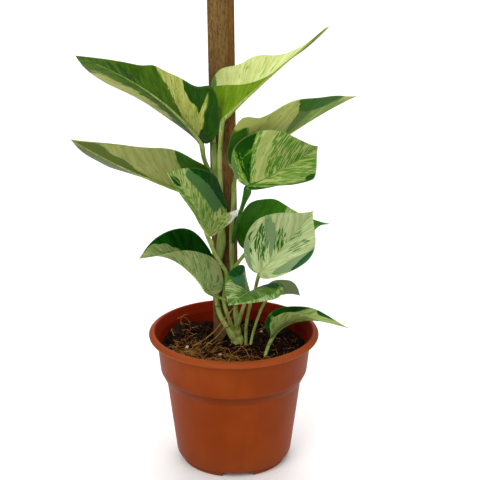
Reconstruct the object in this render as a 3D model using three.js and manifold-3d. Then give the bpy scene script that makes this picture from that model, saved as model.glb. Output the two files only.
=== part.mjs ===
// A variegated pothos in a plain nursery pot, climbing a square wooden stake.
// Millimetres, +Z up. The origin is the centre of the pot's base, on the surface it stands on.
// Front is -Y, left is -X.

import * as THREE from 'three';
import { mergeVertices } from 'three/addons/utils/BufferGeometryUtils.js';
import Module from 'manifold-3d';

const { Vector2, Vector3 } = THREE;
const wasm = await Module();
wasm.setup();

// Driving dimensions, in millimetres and degrees

// Clearance between pieces that touch, and the wider ones round the soil and in its stalk holes
const seatGap = 0.3;
const soilGap = 0.36;
const holeGap = 0.39;

const pot = {
  height: 97,
  wall: 1.6,
  sides: 48,
  rim: { outerRadius: 60, innerRadius: 55.2, beadHeight: 5.4, beadRoot: 55.6, beadTurn: 80, lip: 1.4 },
  collar: { topRadius: 54.4, footRadius: 52, foot: 68, round: 1.4 },
  body: { topRadius: 47.8, top: 61, footRadius: 41.3, foot: 6.5, round: 0.8 },
  foot: { outerRadius: 38.2, width: 2.6, height: 3.4, draft: 0.4, heel: 1.9 },
  floor: 2,
  centrePadRadius: 6,
  notch: { count: 4, turn: 4.5, width: 20, slant: 1.6 },
  drain: { count: 6, radius: 4, circle: 24, turn: 30, sides: 16 },
};

const soil = {
  level: 81.2,
  rise: 1.6,
  leftRise: 1.2,
  sides: 48,
  rings: [48, 42, 35, 28, 21, 14, 7],
  lumps: [
    { height: 0.75, alongX: 0.36, alongY: 0.19, phase: 0.4 },
    { height: 0.6, alongX: -0.23, alongY: 0.47, phase: 1.9 },
    { height: 0.4, alongX: 0.71, alongY: 0.58, phase: 3.1 },
  ],
};

const stake = {
  side: 14.4,
  turn: 18.4,
  lean: 0.7,
  centre: [-5.5, 18.4],
  top: 360,
  shoulder: 95,
  waist: { height: 80, width: 5 },
  point: { height: 12, width: 1.5 },
};

// Each shoot is a tube through hand-placed points, from its foot in the soil to its top
const stem = {
  sides: 8,
  step: 9,
  leftShoot: {
    radius: 1.9,
    points: [
      [4, 13, 66], [1.5, 11.5, 81], [-0.9, 8.6, 88], [-4.8, 6, 97], [-9.5, 7.4, 106], [-11.5, 9, 118],
      [-11, 9.4, 135], [-9, 8, 153.5], [-8, 7.4, 166.5], [-10, 8.4, 191.5], [-12, 9.6, 213],
      [-13.3, 10.2, 233], [-14, 10.6, 247],
    ],
  },
  rightShoot: {
    radius: 1.6,
    points: [
      [6.5, 12.5, 68], [4, 12.8, 83], [2.6, 9.2, 93], [1.8, 7, 103], [1, 6.4, 113.5], [-0.5, 6, 128.5],
      [-1, 6, 142.5], [-1, 6, 176.5], [0, 6, 189], [0.5, 6.4, 206.5],
    ],
  },
  swellings: [
    { at: [1, 8.5, 90.5], radii: [3.3, 3, 5.6] },
    { at: [2.6, 12.3, 82.5], radii: [3.8, 3.4, 5] },
    { at: [-8.6, 7.3, 160], radii: [3.6, 2.6, 15] },
    { at: [1.9, 6.8, 104.6], radii: [2.2, 2.1, 5] },
  ],
};

// A blade is a heart-shaped sheet on a curved midrib. `bow` lifts the midrib off the straight
// line from base to tip, at `bowAt` of its length, and `sway` bends it sideways. `roll` turns the
// upper side about the midrib from level, at the base and at the tip. Each half has its width
// from midrib to edge, its fold up from the flat, the further turn `curl` out to its edge, and
// the reach of its lobe behind the leaf stalk. A half is `widest` at that share of the length, and
// a larger `flare` squares its lobe. `tipFold` is the share of the fold left at the tip. The edge
// stays full as far as `shoulder`, and a larger `taper` gives a blunter tip. A bulge draws the
// edge of one side out by the share `growth` and moves it by `shift`, near the place `at`: a share
// from base to tip, or below 0 round the lobe.
const blade = {
  thickness: 0.8,
  lobeRows: 6,
  sideRows: 10,
  columns: 4,
  veinLag: 1.15,
};

const leafStalk = { sides: 6, step: 10, ridge: 13, ridgeBend: 0.45 };

// The stems and leaves below are placed on an upright plant, and then the whole plant leans to
// the front: it sinks by `dip` for each millimetre forward of the pot's middle
const lean = { dip: 0.0863, breadth: 1.019, height: 0.982, right: -0.2, up: 0.4 };

const leaves = [
  {
    name: 'leaf_top_left',
    base: [-21, 4, 235.4], tip: [-95.6, -42.7, 306.9],
    bow: 10.5, bowAt: 0.37, sway: -0.8, roll: [44, 47.5], tipFold: 1, shoulder: 0.49, taper: 0.49,
    left: { width: 30.2, fold: -18.5, curl: 34, lobe: 3, widest: 0.2, flare: 1 },
    right: { width: 39, fold: 13, curl: 50, lobe: 11.5, widest: 0.25, flare: 1 },
    wave: { height: 1.2, count: 2.5, phase: 0.5 },
    bulges: [
      { side: -1, at: 0.08, reach: 0.1, growth: 0.28 },
      { side: -1, at: 0.52, reach: 0.06, growth: 0.11 },
    ],
    stalk: { radius: 1.6, points: [[-12.8, 9.8, 203], [-16.5, 7, 214], [-19.5, 5.2, 223]] },
  },
  {
    name: 'leaf_upper_left',
    base: [-24.5, 3.2, 197.3], tip: [-101, -41.3, 252],
    bow: -1.8, bowAt: 0.5, sway: 2.8, roll: [28, 40], tipFold: 0.8, shoulder: 0.48, taper: 0.36,
    left: { width: 32, fold: 20.5, curl: 7, lobe: 4.8, widest: 0.28, flare: 1 },
    right: { width: 32, fold: 20, curl: 12, lobe: 9.5, widest: 0.22, flare: 1 },
    wave: { height: 1.2, count: 2.5, phase: 2 },
    stalk: { radius: 1.6, points: [[-9.5, 8, 172], [-12.5, 6.4, 181], [-18.5, 4, 190.5]] },
  },
  {
    name: 'leaf_centre_left',
    base: [-16.3, -18.8, 177.4], tip: [-41, -47, 231.7],
    bow: 2.8, bowAt: 0.59, sway: 2.4, roll: [-67, -61], tipFold: 0.8, shoulder: 0.54, taper: 0.37,
    left: { width: 20.3, fold: 16, curl: 19, lobe: 4.4, widest: 0.29, flare: 0.9 },
    right: { width: 27.2, fold: 22, curl: 4, lobe: 9, widest: 0.21, flare: 1 },
    wave: { height: 1, count: 2, phase: 1 },
    bulges: [{ side: 1, at: -0.48, reach: 0.1, growth: 1.4, shift: [0, -13, 4.5] }],
    stalk: {
      radius: 1.5,
      points: [
        [0, 8.6, 91.5], [-1.8, 5.6, 99], [-4, 3.2, 107], [-6.6, 2.2, 118.5], [-5.4, 1.2, 130.5],
        [-5, -0.8, 141.5], [-9, -6, 151.6], [-13, -12, 162.6],
      ],
    },
  },
  {
    name: 'leaf_top_right',
    base: [-6.4, -12.6, 255.8], tip: [62, 3.2, 314.4],
    bow: -6.7, bowAt: 0.27, sway: 2.6, roll: [-57.5, -137], tipFold: 1.55, shoulder: 0.48, taper: 0.19,
    left: { width: 30.4, fold: 68.5, curl: 102, lobe: 8.4, widest: 0.18, flare: 1.06 },
    right: { width: 27, fold: 65, curl: -15.5, lobe: 3.4, widest: 0.22, flare: 0.92 },
    wave: { height: 0.8, count: 2, phase: 0 },
    bulges: [
      { side: -1, at: 0.15, reach: 0.12, growth: 0.08 },
      { side: -1, at: 0.45, reach: 0.12, growth: 0.16 },
      { side: -1, at: 0.9, reach: 0.05, growth: 1.4 },
    ],
    stalk: {
      radius: 1.6,
      points: [[-7.6, 6.4, 174], [-8, 3.4, 190], [-8.4, 1, 205], [-9, -4.4, 222], [-8, -10.4, 241]],
    },
  },
  {
    name: 'leaf_upper_right',
    base: [3.9, -15.3, 224], tip: [85.1, 49, 253.5],
    bow: 2.2, bowAt: 0.63, sway: 0, roll: [-19.5, -21], tipFold: 0.45, shoulder: 0.55, taper: 0.3,
    left: { width: 21.6, fold: 48.5, curl: 6, lobe: 4, widest: 0.25, flare: 1 },
    right: { width: 32.2, fold: 45, curl: 21.5, lobe: 13, widest: 0.14, flare: 1.24 },
    wave: { height: 1.2, count: 2.5, phase: 0.8 },
    bulges: [{ side: 1, at: -0.12, reach: 0.09, growth: 0.13 }],
    stalk: { radius: 1.4, points: [[0.5, 6.2, 200], [0.8, 0, 206], [1.6, -8, 214.5]] },
  },
  {
    name: 'leaf_right',
    base: [10.5, -44, 222], tip: [57, 13, 229],
    bow: -1, bowAt: 0.5, sway: 1.5, roll: [22, 64], tipFold: 1.2, shoulder: 0.52, taper: 0.24,
    left: { width: 31, fold: 32.5, curl: 14, lobe: 11, widest: 0.24, flare: 1 },
    right: { width: 28.5, fold: 32.5, curl: 10, lobe: 11.5, widest: 0.24, flare: 1 },
    wave: { height: 0.7, count: 2, phase: 2.4 },
    stalk: { radius: 1.5, points: [[-0.2, 5.8, 162], [2.4, -2, 177.5], [6, -15, 196], [9, -30, 211.5]] },
  },
  {
    name: 'leaf_dark_right',
    base: [11, 11, 153.8], tip: [69.6, 63.7, 151.2],
    bow: 2.6, bowAt: 0.45, sway: -2, roll: [26, -10], tipFold: 1, shoulder: 0.49, taper: 0.16,
    left: { width: 30, fold: 39, curl: 33, lobe: 10.4, widest: 0.21, flare: 1.08 },
    right: { width: 26.5, fold: 18, curl: -23.5, lobe: 12, widest: 0.23, flare: 1 },
    wave: { height: 1, count: 2, phase: 1.2 },
    bulges: [{ side: -1, at: 0.3, reach: 0.15, growth: 0.05 }],
    stalk: { radius: 1.3, points: [[-0.6, 5.8, 140], [4.6, 6.4, 148]] },
  },
  {
    name: 'leaf_round_right',
    base: [18, -14.5, 148], tip: [56, 37.5, 172],
    bow: -1.5, bowAt: 0.5, sway: 0.5, roll: [22, 30], tipFold: 1, shoulder: 0.52, taper: 0.24,
    left: { width: 31, fold: 39, curl: 22, lobe: 8.5, widest: 0.24, flare: 1 },
    right: { width: 30, fold: 40, curl: -3, lobe: 10, widest: 0.24, flare: 1 },
    wave: { height: 0.6, count: 2, phase: 0.3 },
    stalk: {
      radius: 1.3,
      points: [[10, 15, 66], [8.8, 10.8, 81], [9, 6, 98.8], [11.7, -0.6, 117.8], [14.6, -7, 131]],
    },
  },
  {
    name: 'leaf_low_left',
    base: [-17.5, -8.5, 131], tip: [-61, -36, 168],
    bow: 9, bowAt: 0.7, sway: -0.5, roll: [21, -21], tipFold: 0.5, shoulder: 0.52, taper: 0.24,
    left: { width: 17.5, fold: 45, curl: 45, lobe: 9, widest: 0.24, flare: 1 },
    right: { width: 29, fold: 49, curl: 53, lobe: 11, widest: 0.24, flare: 1 },
    wave: { height: 0.8, count: 2, phase: 0.9 },
    stalk: { radius: 1.1, points: [[0.8, 6.2, 114], [-4.5, -1, 120.5], [-9.5, -2.6, 123.6]] },
  },
  {
    name: 'leaf_front',
    base: [11, -16.5, 134.5], tip: [-3, -60, 146],
    bow: 2, bowAt: 0.5, sway: -2, roll: [-9, -2], tipFold: 0, shoulder: 0.52, taper: 0.24,
    left: { width: 25, fold: 45, curl: -36, lobe: 8.5, widest: 0.24, flare: 1 },
    right: { width: 20, fold: 55, curl: 27, lobe: 9, widest: 0.24, flare: 1 },
    wave: { height: 0.6, count: 2, phase: 0.2 },
    stalk: { radius: 1.4, points: [[2.2, 8.8, 92], [4, 3.4, 103], [6.6, -4, 116], [9, -9.6, 125.6]] },
  },
  {
    name: 'leaf_small_right',
    base: [23, 9.5, 117], tip: [48, 40, 104.5],
    bow: 2, bowAt: 0.5, sway: 1.5, roll: [-48, -12], tipFold: 1, shoulder: 0.52, taper: 0.24,
    left: { width: 15, fold: 21, curl: -7, lobe: 7, widest: 0.24, flare: 1 },
    right: { width: 13.5, fold: 26, curl: 19, lobe: 7.5, widest: 0.24, flare: 1 },
    wave: { height: 0.5, count: 2, phase: 0 },
    stalk: { radius: 1.1, points: [[10.5, 5, 66], [11.6, 6, 80], [14.5, 7.4, 94], [19, 8.8, 108]] },
  },
  {
    name: 'leaf_rim_right',
    base: [28, -3.2, 95.5], tip: [77.2, -23.4, 111],
    bow: 6.9, bowAt: 0.26, sway: -5, roll: [-8.7, -8.8], tipFold: 0.46, shoulder: 0.57, taper: 0.27,
    left: { width: 14.5, fold: 32.5, curl: 26.5, lobe: 2.8, widest: 0.24, flare: 1 },
    right: { width: 19, fold: 21.5, curl: 46, lobe: 5, widest: 0.19, flare: 0.9 },
    wave: { height: 0.6, count: 2, phase: 0.4 },
    stalk: { radius: 1.3, points: [[20, -13, 68], [21.6, -11, 81], [24.4, -7, 89]] },
  },
];

const colours = {
  pot: 0x8f3e19,
  soil: 0x1f1410,
  stake: 0x785f3e,
  stem: 0x96aa5a,
  leaf: 0x6f9650,
};

const roughness = { pot: 0.45, soil: 0.95, stake: 0.8, stem: 0.5, leaf: 0.45 };

// Turning shapes into closed solids and joining them

const radians = THREE.MathUtils.degToRad;
const vector = (values) => new Vector3(...values);

function signedVolume(positions, index) {
  const a = new Vector3();
  const b = new Vector3();
  const c = new Vector3();
  let volume = 0;
  for (let i = 0; i < index.length; i += 3) {
    a.fromBufferAttribute(positions, index[i]);
    b.fromBufferAttribute(positions, index[i + 1]);
    c.fromBufferAttribute(positions, index[i + 2]);
    volume += a.dot(b.cross(c)) / 6;
  }
  return volume;
}

// A manifold solid from a closed geometry, turned the right side out
function solid(geometry) {
  const bare = geometry.clone();
  bare.deleteAttribute('normal');
  bare.deleteAttribute('uv');
  const merged = mergeVertices(bare, 1e-4);
  const index = Array.from(merged.index.array);
  const kept = [];
  for (let i = 0; i < index.length; i += 3) {
    const [a, b, c] = index.slice(i, i + 3);
    if (a !== b && b !== c && c !== a) kept.push(a, b, c);
  }
  const inside = signedVolume(merged.attributes.position, kept) < 0;
  if (inside) kept.reverse();
  return new wasm.Manifold(new wasm.Mesh({
    numProp: 3,
    vertProperties: Float32Array.from(merged.attributes.position.array),
    triVerts: Uint32Array.from(kept),
  }));
}

// The body without the scraps that a cut may leave
function largestPiece(body) {
  return body.decompose().reduce((best, piece) => (piece.volume() > best.volume() ? piece : best));
}

function geometryOf(manifold) {
  const { vertProperties, triVerts } = manifold.getMesh();
  const geometry = new THREE.BufferGeometry();
  geometry.setAttribute('position', new THREE.BufferAttribute(Float32Array.from(vertProperties), 3));
  geometry.setIndex(new THREE.BufferAttribute(Uint32Array.from(triVerts), 1));
  geometry.computeVertexNormals();
  return geometry;
}

// A turned solid about Z from points of radius and height
function turned(profile, sides) {
  const points = profile.map(([radius, height]) => new Vector2(radius, height));
  return new THREE.LatheGeometry(points, sides).rotateX(Math.PI / 2);
}

// A round tube through the points
function tube(points, radius, sides, step) {
  const path = new THREE.CatmullRomCurve3(points.map(vector), false, 'centripetal');
  const section = new THREE.Shape();
  for (let i = 0; i < sides; i += 1) {
    const angle = (i / sides) * 2 * Math.PI;
    const point = [radius * Math.cos(angle), radius * Math.sin(angle)];
    if (i === 0) section.moveTo(...point);
    else section.lineTo(...point);
  }
  section.closePath();
  const steps = Math.max(4, Math.ceil(path.getLength() / step));
  return new THREE.ExtrudeGeometry(section, { steps, bevelEnabled: false, extrudePath: path });
}

function ellipsoid(at, radii) {
  const sidesAround = 10;
  const sidesUp = 7;
  return new THREE.SphereGeometry(1, sidesAround, sidesUp).scale(...radii).translate(...at);
}

function mesh(name, manifold, colour, rough) {
  const material = new THREE.MeshStandardMaterial({ color: colour, roughness: rough, metalness: 0 });
  const part = new THREE.Mesh(geometryOf(manifold), material);
  part.name = name;
  return part;
}

// The pot: a rolled rim, a collar that steps in to a tapered body, and a notched foot ring

function potOutside() {
  const { rim, collar, body, foot, height } = pot;
  const beadHalf = rim.beadHeight / 2;
  const beadMiddle = height - beadHalf;
  const beadDepth = rim.outerRadius - rim.beadRoot;
  const beadSteps = 5;
  const bead = [];
  for (let i = 0; i <= beadSteps; i += 1) {
    const angle = radians(rim.beadTurn * ((2 * i) / beadSteps - 1));
    bead.push([rim.beadRoot + beadDepth * Math.cos(angle), beadMiddle + beadHalf * Math.sin(angle)]);
  }
  return [
    [foot.outerRadius - foot.draft, 0],
    [foot.outerRadius, foot.height],
    [body.footRadius - foot.heel, foot.height + foot.draft / 2],
    [body.footRadius - body.round, foot.height + collar.round],
    [body.footRadius, body.foot],
    [body.topRadius, body.top - body.round],
    [body.topRadius + body.round, body.top],
    [collar.footRadius - body.round, collar.foot - collar.round],
    [collar.footRadius, collar.foot],
    [collar.topRadius, beadMiddle - beadHalf - body.round],
    ...bead,
  ];
}

// The wall's inner face, from the floor up to the rim
function potInside() {
  const { rim, collar, body, foot, floor, wall, height } = pot;
  return [
    [body.footRadius - wall - body.round, foot.height + floor],
    [body.footRadius - wall, body.foot + floor],
    [body.topRadius - wall, body.top + body.round],
    [collar.footRadius - wall, collar.foot + body.round],
    [collar.topRadius - wall, height - rim.beadHeight - rim.lip],
    [rim.innerRadius, height - rim.lip],
    [rim.innerRadius + body.round, height - foot.draft / 2],
  ];
}

function makePot() {
  const { foot, floor, notch, drain, centrePadRadius, sides } = pot;
  const footInner = foot.outerRadius - foot.width;
  const profile = [
    [0, 0],
    [centrePadRadius, 0],
    [centrePadRadius + foot.draft, foot.height],
    [footInner - foot.draft, foot.height],
    [footInner, 0],
    ...potOutside(),
    ...potInside().reverse(),
    [0, foot.height + floor],
  ];
  let body = solid(turned(profile, sides));
  const below = 1;
  const cutDepth = 12;
  const notchTop = foot.height - foot.draft / 2;
  for (let i = 0; i < notch.count; i += 1) {
    const half = notch.width / 2;
    const outline = new THREE.Shape([
      new Vector2(-half - notch.slant, -below),
      new Vector2(half + notch.slant, -below),
      new Vector2(half, notchTop),
      new Vector2(-half, notchTop),
    ]);
    const cutter = new THREE.ExtrudeGeometry(outline, { depth: cutDepth, bevelEnabled: false })
      .rotateX(Math.PI / 2)
      .translate(0, -footInner + cutDepth / 4, 0)
      .rotateZ(radians(notch.turn + (i * 360) / notch.count));
    body = body.subtract(solid(cutter));
  }
  for (let i = 0; i < drain.count; i += 1) {
    const angle = radians((i * 360) / drain.count + drain.turn);
    const hole = new THREE.CylinderGeometry(drain.radius, drain.radius, 3 * floor, drain.sides)
      .rotateX(Math.PI / 2)
      .translate(drain.circle * Math.cos(angle), drain.circle * Math.sin(angle), foot.height + floor / 2);
    body = body.subtract(solid(hole));
  }
  return body;
}

// The soil: it fills the pot to a lumpy top, with plain holes for what stands in it

function soilHeight(x, y) {
  const edge = pot.collar.topRadius;
  let height = soil.level + soil.rise * ((x * x + y * y) / (edge * edge)) ** 2;
  height += soil.leftRise * Math.max(0, -x / edge) ** 2;
  for (const lump of soil.lumps) {
    height += lump.height * Math.sin(lump.alongX * x + lump.alongY * y + lump.phase);
  }
  return height;
}

function makeSoil(standing) {
  const wallRadius = (height) => {
    const inside = potInside();
    const above = inside.findIndex(([, z]) => z >= height);
    const [lowRadius, low] = inside[above - 1];
    const [highRadius, high] = inside[above];
    return lowRadius + ((highRadius - lowRadius) * (height - low)) / (high - low);
  };
  const floorTop = pot.foot.height + pot.floor + seatGap;
  const inner = potInside().slice(1, 4).map(([radius, height]) => [radius - soilGap, height]);
  const edge = wallRadius(soil.level) - soilGap;
  const profile = [
    [0, floorTop],
    [potInside()[0][0] - soilGap, floorTop],
    ...inner,
    [edge, soil.level],
    ...soil.rings.map((radius) => [radius, soil.level]),
    [0, soil.level],
  ];
  const shape = turned(profile, soil.sides);
  const { position } = shape.attributes;
  for (let i = 0; i < position.count; i += 1) {
    const onTop = Math.abs(position.getZ(i) - soil.level) < 0.01;
    if (onTop) {
      position.setZ(i, soilHeight(position.getX(i), position.getY(i)));
    }
  }
  return standing.reduce((body, piece) => body.subtract(piece), solid(shape));
}

// The stake: a square bar, whittled on its right side to a point in the soil

function makeStake(clearance) {
  const half = stake.side / 2 + clearance;
  const left = -half;
  const outline = new THREE.Shape([
    new Vector2(left, stake.point.height - clearance),
    new Vector2(left + stake.point.width + 2 * clearance, stake.point.height - clearance),
    new Vector2(left + stake.waist.width + 2 * clearance, stake.waist.height),
    new Vector2(half, stake.shoulder),
    new Vector2(half, stake.top),
    new Vector2(left, stake.top),
  ]);
  const bar = new THREE.ExtrudeGeometry(outline, { depth: 2 * half, bevelEnabled: false })
    .rotateX(Math.PI / 2)
    .translate(0, half, 0)
    .rotateZ(-radians(stake.turn))
    .translate(0, 0, -soil.level)
    .rotateY(-radians(stake.lean))
    .translate(stake.centre[0], stake.centre[1], soil.level);
  return solid(bar);
}

// The stem: two shoots that rise together from one swollen crown

function makeStem(clearance) {
  const pieces = [stem.leftShoot, stem.rightShoot].map((shoot) => (
    solid(tube(shoot.points, shoot.radius + clearance, stem.sides, stem.step))
  ));
  for (const { at, radii } of stem.swellings) {
    pieces.push(solid(ellipsoid(at, radii.map((radius) => radius + clearance))));
  }
  return pieces.reduce((body, piece) => body.add(piece));
}

// The leaves

// Points of one half blade, in rows that fan back round the lobe and then run on to the tip.
// `along` is the distance along the midrib and `across` the distance out from it.
function halfBladeRows(length, side, { left, right, shoulder, taper, bulges = [] }) {
  const half = side > 0 ? right : left;
  const widest = half.widest * length;
  const lobeEdge = new THREE.CubicBezierCurve(
    new Vector2(0, 0),
    new Vector2(-1.25 * half.lobe, 0.1 * half.width),
    new Vector2(-0.95 * half.lobe, half.flare * half.width),
    new Vector2(widest, half.width),
  );
  const sideEdge = new THREE.CubicBezierCurve(
    new Vector2(widest, half.width),
    new Vector2(shoulder * length, half.width),
    new Vector2(0.8 * length, taper * half.width),
    new Vector2(length, 0),
  );
  const rows = [];
  const addRow = (place, rootAlong, edge) => {
    const row = [];
    for (let j = 0; j <= blade.columns; j += 1) {
      const out = j / blade.columns;
      const shift = new Vector3();
      let reach = out;
      for (const bulge of bulges.filter((one) => one.side === side)) {
        const near = out * out * Math.exp(-(((place - bulge.at) / bulge.reach) ** 2));
        reach += bulge.growth * near;
        if (bulge.shift) shift.addScaledVector(vector(bulge.shift), near);
      }
      row.push({ along: rootAlong + (edge.x - rootAlong) * reach, across: edge.y * reach, shift });
    }
    rows.push(row);
  };
  for (let i = 1; i <= blade.lobeRows; i += 1) {
    addRow(i / blade.lobeRows - 1, 0, lobeEdge.getPoint(i / blade.lobeRows));
  }
  for (let i = 1; i <= blade.sideRows; i += 1) {
    const share = i / blade.sideRows;
    addRow(share, length * share ** blade.veinLag, sideEdge.getPoint(share));
  }
  return rows;
}

// The midrib's curve, with the directions along it, out to the right and up from the upper side
function makeMidrib(leaf) {
  const base = vector(leaf.base);
  const tip = vector(leaf.tip);
  const chord = tip.clone().sub(base);
  const [rollBase, rollTip] = leaf.roll.map(radians);
  const frameOf = (along, roll) => {
    const level = new Vector3(0, 0, 1).addScaledVector(along, -along.z).normalize();
    const side = along.clone().cross(level);
    const up = level.clone().multiplyScalar(Math.cos(roll)).addScaledVector(side, Math.sin(roll));
    const right = side.multiplyScalar(Math.cos(roll)).addScaledVector(level, -Math.sin(roll));
    return { along, up, right };
  };
  const middle = frameOf(chord.clone().normalize(), (rollBase + rollTip) / 2);
  const handle = base.clone().addScaledVector(chord, leaf.bowAt)
    .addScaledVector(middle.up, 2 * leaf.bow)
    .addScaledVector(middle.right, 2 * leaf.sway);
  const curve = new THREE.QuadraticBezierCurve3(base, handle, tip);
  const length = curve.getLength();
  const at = (distance) => {
    const share = THREE.MathUtils.clamp(distance / length, 0, 1);
    const frame = frameOf(curve.getTangent(share), rollBase + (rollTip - rollBase) * share);
    const point = curve.getPoint(share).addScaledVector(frame.along, Math.min(distance, 0));
    return { ...frame, point, share };
  };
  return { length, at };
}

// A point of the blade in space: each half folds up from the midrib, curls on and waves at its edge
function bladePoint(leaf, midrib, side, { along, across, shift }) {
  const half = side > 0 ? leaf.right : leaf.left;
  const { point, up, right, share } = midrib.at(along);
  const curl = radians(Math.abs(half.curl) < 1 ? 1 : half.curl);
  const fold = radians(half.fold) * (1 + (leaf.tipFold - 1) * share);
  const out = across / half.width;
  const reach = half.width / curl;
  const sideways = reach * (Math.sin(fold + curl * out) - Math.sin(fold));
  const lift = reach * (Math.cos(fold) - Math.cos(fold + curl * out));
  const wave = Math.sin(2 * Math.PI * leaf.wave.count * (along / midrib.length) + leaf.wave.phase + side);
  const ripple = leaf.wave.height * out * out * wave;
  return point.clone()
    .addScaledVector(right, side * sideways)
    .addScaledVector(up, lift + ripple)
    .add(shift);
}

// The blade as one sheet of numbered points and triangles, upper side out
function bladeSheet(leaf, midrib) {
  const points = [];
  const triangles = [];
  const numberOf = new Map();
  const number = (side, row, column, spot) => {
    const onMidrib = column === 0 || spot.across < 1e-6;
    const key = onMidrib ? `midrib ${spot.along.toFixed(4)}` : `${side} ${row} ${column}`;
    if (!numberOf.has(key)) {
      numberOf.set(key, points.length);
      points.push(bladePoint(leaf, midrib, side, spot));
    }
    return numberOf.get(key);
  };
  for (const side of [-1, 1]) {
    const rows = halfBladeRows(midrib.length, side, leaf);
    const numbers = rows.map((row, i) => row.map((spot, j) => number(side, i, j, spot)));
    for (let i = 0; i + 1 < numbers.length; i += 1) {
      for (let j = 0; j < blade.columns; j += 1) {
        const near = numbers[i][j];
        const nearOut = numbers[i][j + 1];
        const far = numbers[i + 1][j];
        const farOut = numbers[i + 1][j + 1];
        const pair = [[near, nearOut, farOut], [near, farOut, far]];
        for (const triangle of pair) {
          if (new Set(triangle).size === 3) triangles.push(side > 0 ? triangle : triangle.reverse());
        }
      }
    }
  }
  return { points, triangles };
}

// A closed solid of even thickness from a sheet, split into triangles alike on both faces
function thicken({ points, triangles }, thickness) {
  const normals = points.map(() => new Vector3());
  for (const [a, b, c] of triangles) {
    const ab = points[b].clone().sub(points[a]);
    const ac = points[c].clone().sub(points[a]);
    const face = ab.cross(ac);
    for (const corner of [a, b, c]) normals[corner].add(face);
  }
  const half = thickness / 2;
  const upper = points.map((point, i) => point.clone().addScaledVector(normals[i].normalize(), half));
  const lower = points.map((point, i) => point.clone().addScaledVector(normals[i], -half));
  const corners = [...upper, ...lower];
  const count = points.length;
  const index = [];
  const directed = new Set(triangles.flatMap(([a, b, c]) => [`${a} ${b}`, `${b} ${c}`, `${c} ${a}`]));
  for (const [a, b, c] of triangles) {
    index.push(a, b, c, c + count, b + count, a + count);
    for (const [from, to] of [[a, b], [b, c], [c, a]]) {
      const atEdge = !directed.has(`${to} ${from}`);
      if (atEdge) index.push(to, from, from + count, to, from + count, to + count);
    }
  }
  const geometry = new THREE.BufferGeometry().setFromPoints(corners);
  geometry.setIndex(index);
  return geometry;
}

// A leaf is its blade and its stalk in one body. The stalk runs on as a ridge under the midrib.
function makeStalk(leaf, clearance) {
  const { radius, points } = leaf.stalk;
  const midrib = makeMidrib(leaf);
  const ridge = [0, leafStalk.ridgeBend, 1].map((share) => {
    const { point, up } = midrib.at(share * leafStalk.ridge);
    return point.clone().addScaledVector(up, -radius * (0.5 + 0.5 * share)).toArray();
  });
  return solid(tube([...points, ...ridge], radius + clearance, leafStalk.sides, leafStalk.step));
}

function makeLeaf(leaf, stemClearance) {
  const sheet = bladeSheet(leaf, makeMidrib(leaf));
  const body = solid(thicken(sheet, blade.thickness))
    .add(makeStalk(leaf, 0))
    .subtract(stemClearance);
  return largestPiece(body);
}

// The assembly

function leaned(body) {
  const { dip, breadth, height, right, up } = lean;
  const across = [breadth, 0, 0, 0];
  const forward = [0, 1, dip, 0];
  const upright = [0, 0, height, 0];
  return body.transform([...across, ...forward, ...upright, right, 0, up, 1]);
}

const stemClearance = makeStem(seatGap);
const leafBodies = leaves.map((leaf) => ({ leaf, body: leaned(makeLeaf(leaf, stemClearance)) }));
const stalksInSoil = leaves
  .filter(({ stalk }) => stalk.points[0][2] < soil.level)
  .map((leaf) => leaned(makeStalk(leaf, holeGap)));
const soilBody = makeSoil([leaned(stemClearance), makeStake(seatGap), ...stalksInSoil]);

const group = new THREE.Group();
group.add(mesh('pot', makePot(), colours.pot, roughness.pot));
group.add(mesh('soil', soilBody, colours.soil, roughness.soil));
group.add(mesh('stake', makeStake(0), colours.stake, roughness.stake));
group.add(mesh('stem', leaned(makeStem(0)), colours.stem, roughness.stem));
for (const { leaf, body } of leafBodies) {
  group.add(mesh(leaf.name, body, colours.leaf, roughness.leaf));
}

export default group;
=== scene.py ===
# A variegated pothos in a plain nursery pot, climbing a square wooden stake.
# Shapes are worked out in millimetres and turned to metres when a piece is made.

import math

import bmesh
import bpy
from mathutils import Matrix, Vector, noise


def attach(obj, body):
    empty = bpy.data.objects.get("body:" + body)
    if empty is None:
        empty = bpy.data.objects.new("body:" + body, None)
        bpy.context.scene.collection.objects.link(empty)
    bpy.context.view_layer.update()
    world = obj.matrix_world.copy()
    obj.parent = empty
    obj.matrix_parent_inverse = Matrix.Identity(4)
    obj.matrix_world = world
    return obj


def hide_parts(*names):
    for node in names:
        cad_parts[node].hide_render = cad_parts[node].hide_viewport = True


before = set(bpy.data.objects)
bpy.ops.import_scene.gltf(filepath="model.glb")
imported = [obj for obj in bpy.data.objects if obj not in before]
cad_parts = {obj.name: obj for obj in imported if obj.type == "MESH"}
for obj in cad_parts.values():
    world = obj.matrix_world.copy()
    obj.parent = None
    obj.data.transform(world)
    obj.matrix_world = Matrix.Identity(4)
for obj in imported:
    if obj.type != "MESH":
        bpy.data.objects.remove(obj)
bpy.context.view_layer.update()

MM = 0.001
UP = Vector((0, 0, 1))

# Stems and leaves are placed on an upright plant, and then the whole plant leans to the front:
# it sinks by the dip for each millimetre forward of the pot's middle
DIP = 0.0863
BREADTH = 1.019
HEIGHT = 0.982
LEAN = Matrix(((BREADTH, 0, 0, -0.2), (0, 1, 0, 0), (0, DIP, HEIGHT, 0.4), (0, 0, 0, 1)))


# Small tools

def to_linear(colour):
    """A hex sRGB colour as linear RGBA."""
    channels = [int(colour[i:i + 2], 16) / 255 for i in (0, 2, 4)]
    linear = [c / 12.92 if c <= 0.04045 else ((c + 0.055) / 1.055) ** 2.4 for c in channels]
    return (*linear, 1)


def link(tree, source, socket):
    """Links an output to an input. A node stands for the first of its outputs that is in use."""
    if isinstance(source, bpy.types.Node):
        source = next(output for output in source.outputs if output.enabled)
    tree.links.new(source, socket)


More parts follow.
